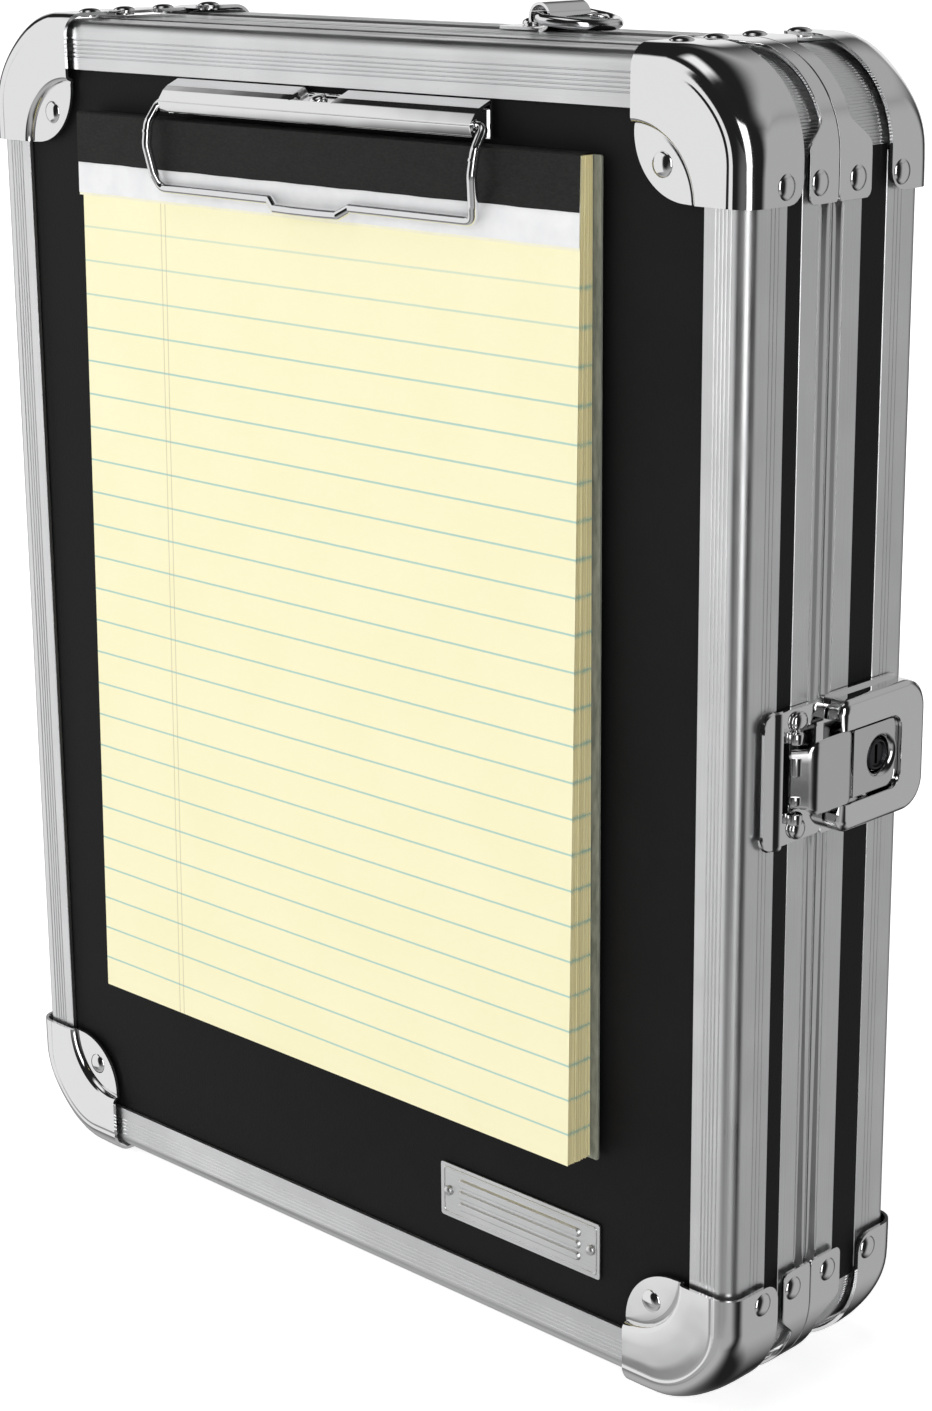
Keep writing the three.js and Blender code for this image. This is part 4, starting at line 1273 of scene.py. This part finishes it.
def hinge():
    """A piano hinge down the left side: two crenellated leaves, rolled knuckles, one pin."""
    x_pin, y_pin = -WIDTH / 2 - 2.6, PARTING
    half, count, outer, bore = 120.0, 9, 1.9, 1.1
    pitch = 2 * half / count
    for node, body, side in (("hinge_lid_leaf", "lid", -1), ("hinge_base_leaf", "base", 1)):
        inner_edge = []
        shape = Shape()
        for i in range(count):
            low, high = -half + i * pitch, -half + (i + 1) * pitch
            own = (i % 2 == 0) == (side > 0)
            near = y_pin + side * (0.7 if own else 2.3)
            shy = 0.1 if own else -0.1
            inner_edge += [(near, low + shy), (near, high - shy)]
            if own:
                a, b = low + 0.15, high - 0.15
                wall = [(bore, a), (outer - 0.15, a), (outer, a + 0.15)]
                wall += [(outer, b - 0.15), (outer - 0.15, b), (bore, b)]
                ring = []
                angles = np.linspace(0, 2 * math.pi, 20, endpoint=False)
                for r, h in wall:
                    knuckle_x, knuckle_y = x_pin + r * np.cos(angles), y_pin + r * np.sin(angles)
                    ring.append(np.column_stack([knuckle_x, knuckle_y, np.full(20, h)]))
                shape.add(loft(ring, wrap=True))
        far = y_pin + side * 9.0
        far_edge = [(far - side * 0.8, half), (far, half - 0.8)]
        far_edge += [(far, -half + 0.8), (far - side * 0.8, -half)]
        outline = np.array(inner_edge + far_edge)
        outline[:, 1] = np.clip(outline[:, 1], -half, half)
        plane = -WIDTH / 2 - 0.3
        shape.add(prism(outline, "x", plane - 0.8, plane))
        for z in np.linspace(-half + 14, half - 14, 6):
            shape.add(dome((plane - 0.8, y_pin + side * 5.6, z), (-1, 0, 0), 0.62, 0.8))
        make(node + "_rolled", shape, body, STEEL, [node], 30)
    rod = [(0, -half - 0.8), (0.5, -half - 0.75), (0.75, -half - 0.5)]
    rod += [(0.75, half + 0.5), (0.5, half + 0.75), (0, half + 0.8)]
    pin = lathe(rod, (x_pin, y_pin, 0), (0, 0, 1), 16)
    make("hinge_pin_rod", pin, "base", STEEL, ["hinge_pin"], 40)


clip_plate()
bail()
clip_coil()
pad()
nameplate()
hasp_plate()
hasp()
bezel()
slider()
key()
ring_bracket()
d_ring()
hinge()

# ---- Camera, light and floor -------------------------------------------------------------------
CAMERA_PLACE = (556.1, -519.9, 384.5 - 170.0)  # case millimetres
CAMERA_AHEAD = (-0.67130, 0.68614, -0.28031)
CAMERA_RIGHT = (0.71657, 0.69745, -0.00889)
LENS, SENSOR = 74.69, 36.0


def camera():
    """The photo's camera, solved from the case's edges."""
    data = bpy.data.cameras.new("camera")
    data.lens = LENS
    data.sensor_width = SENSOR
    data.clip_start, data.clip_end = 0.05, 30.0
    cam = in_scene("camera", data)
    back = -Vector(CAMERA_AHEAD).normalized()
    right = Vector(CAMERA_RIGHT).normalized()
    up = back.cross(right).normalized()
    right = up.cross(back)
    turn = Matrix((right, up, back)).transposed()
    cam.matrix_world = Matrix.Translation(Vector(row([CAMERA_PLACE])[0])) @ turn.to_4x4()
    bpy.context.scene.camera = cam


ROOM_GLOW = 0.02  # of the dark room behind the cards
STRENGTH = 0.8  # of room and cards together
CARDS = [
    # Heading, height, half span sideways and half span upright in degrees, softness, brightness.
    (210, 6, 31, 35, 0.04, 1.06),
    (128, 8, 24, 13, 0.10, 1.05),
    (322, 12, 10, 26, 0.05, 3.6),
    (54, -10, 25, 38, 0.20, 0.52),
    (72, 36, 34, 18, 0.20, 0.50),
    (250, 74, 14, 12, 0.10, 1.2),
    (285, -40, 48, 14, 0.15, 0.50),
    (230, -62, 60, 22, 0.30, 0.55),
]


def world():
    """Soft cards in a dark room for light and reflections, and plain white to the camera."""
    made = bpy.data.worlds.new("studio")
    bpy.context.scene.world = made
    made.use_nodes = True
    made.node_tree.nodes.clear()
    g = Graph(made.node_tree)
    place = g.node("ShaderNodeTexCoord").outputs["Generated"]

    def along(direction):
        """How far a ray goes along a direction."""
        dot = g.node("ShaderNodeVectorMath", operation="DOT_PRODUCT")
        return g.set(dot, {0: place, 1: direction}).outputs["Value"]

    def window(direction, span, soft):
        """1 up to the span in degrees either side of the middle, then softly 0."""
        off, half = g.math("ABSOLUTE", along(direction)), math.sin(math.radians(span))
        return g.spread(off, half + soft, half - soft, 0.0, 1.0, interpolation_type="SMOOTHSTEP")

    total = None
    for heading, height, wide, tall, soft, power in CARDS:
        h, e = math.radians(heading), math.radians(height)
        ahead = (math.cos(h) * math.cos(e), math.sin(h) * math.cos(e), math.sin(e))
        across = (-math.sin(h), math.cos(h), 0.0)
        up = Vector(ahead).cross(Vector(across))
        card = g.times(window(across, wide, soft), window(up, tall, soft))
        card = g.times(card, g.math("GREATER_THAN", along(ahead), 0.0))
        card = g.times(card, power)
        total = card if total is None else g.math("MAXIMUM", total, card)
    to_camera = g.node("ShaderNodeLightPath").outputs["Is Camera Ray"]
    glow = g.times(g.math("ADD", total, ROOM_GLOW), STRENGTH)
    unseen = g.times(glow, g.math("SUBTRACT", 1.0, to_camera))
    sky = g.node("ShaderNodeBackground")
    g.set(sky, {"Color": (1, 1, 1, 1), "Strength": g.math("ADD", unseen, to_camera)})
    g.set(g.node("ShaderNodeOutputWorld"), {"Surface": sky.outputs[0]})


def area(name, place, target, size, power):
    """A soft box turned towards its target."""
    data = bpy.data.lights.new(name, "AREA")
    data.shape = "RECTANGLE"
    data.size, data.size_y = size
    data.energy = power
    lamp = in_scene(name, data)
    lamp.location = place
    lamp.rotation_mode = "QUATERNION"
    lamp.rotation_quaternion = (Vector(target) - Vector(place)).to_track_quat("-Z", "Y")
    lamp.visible_glossy = False


def stage():
    """A wide pale floor that glows white away from the case, so the background stays even."""
    half = 7.0
    mesh = bpy.data.meshes.new("floor")
    outline = [(-half, -half, 0), (half, -half, 0), (half, half, 0), (-half, half, 0)]
    mesh.from_pydata(outline, [], [[0, 1, 2, 3]])
    floor = in_scene("floor", mesh)
    m = Nodes("pale_floor", (0.88, 0.88, 0.88), 0.0, 0.9, Specular_IOR_Level=0.0)
    m.set(m.shader, {"Emission Color": (1, 1, 1, 1)})
    squares = m.math("POWER", m.axis("X"), 2.0), m.math("POWER", m.axis("Y"), 2.0)
    away = m.math("SQRT", m.math("ADD", *squares))
    m.set(m.shader, {"Emission Strength": m.spread(away, 0.2, 1.0, 0.76, 1.0)})
    m.colour(m.mix(m.noise(3.0), (0.87, 0.87, 0.87), (0.9, 0.9, 0.9)))
    mesh.materials.append(m.material)
    floor.visible_glossy = False
    floor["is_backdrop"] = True


camera()
world()
area("top_box", (-0.3, -0.3, 1.9), (0, 0, 0.1), (1.8, 1.8), 11.0)
area("front_box", (-0.9, -1.6, 1.0), (0, 0, 0.17), (1.2, 1.4), 6.5)
stage()
bpy.context.scene.view_settings.view_transform = "Standard"

shown_low, shown_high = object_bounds()
sizes = {"cad": [list(cad_low), list(cad_high)], "visual": [list(shown_low), list(shown_high)]}
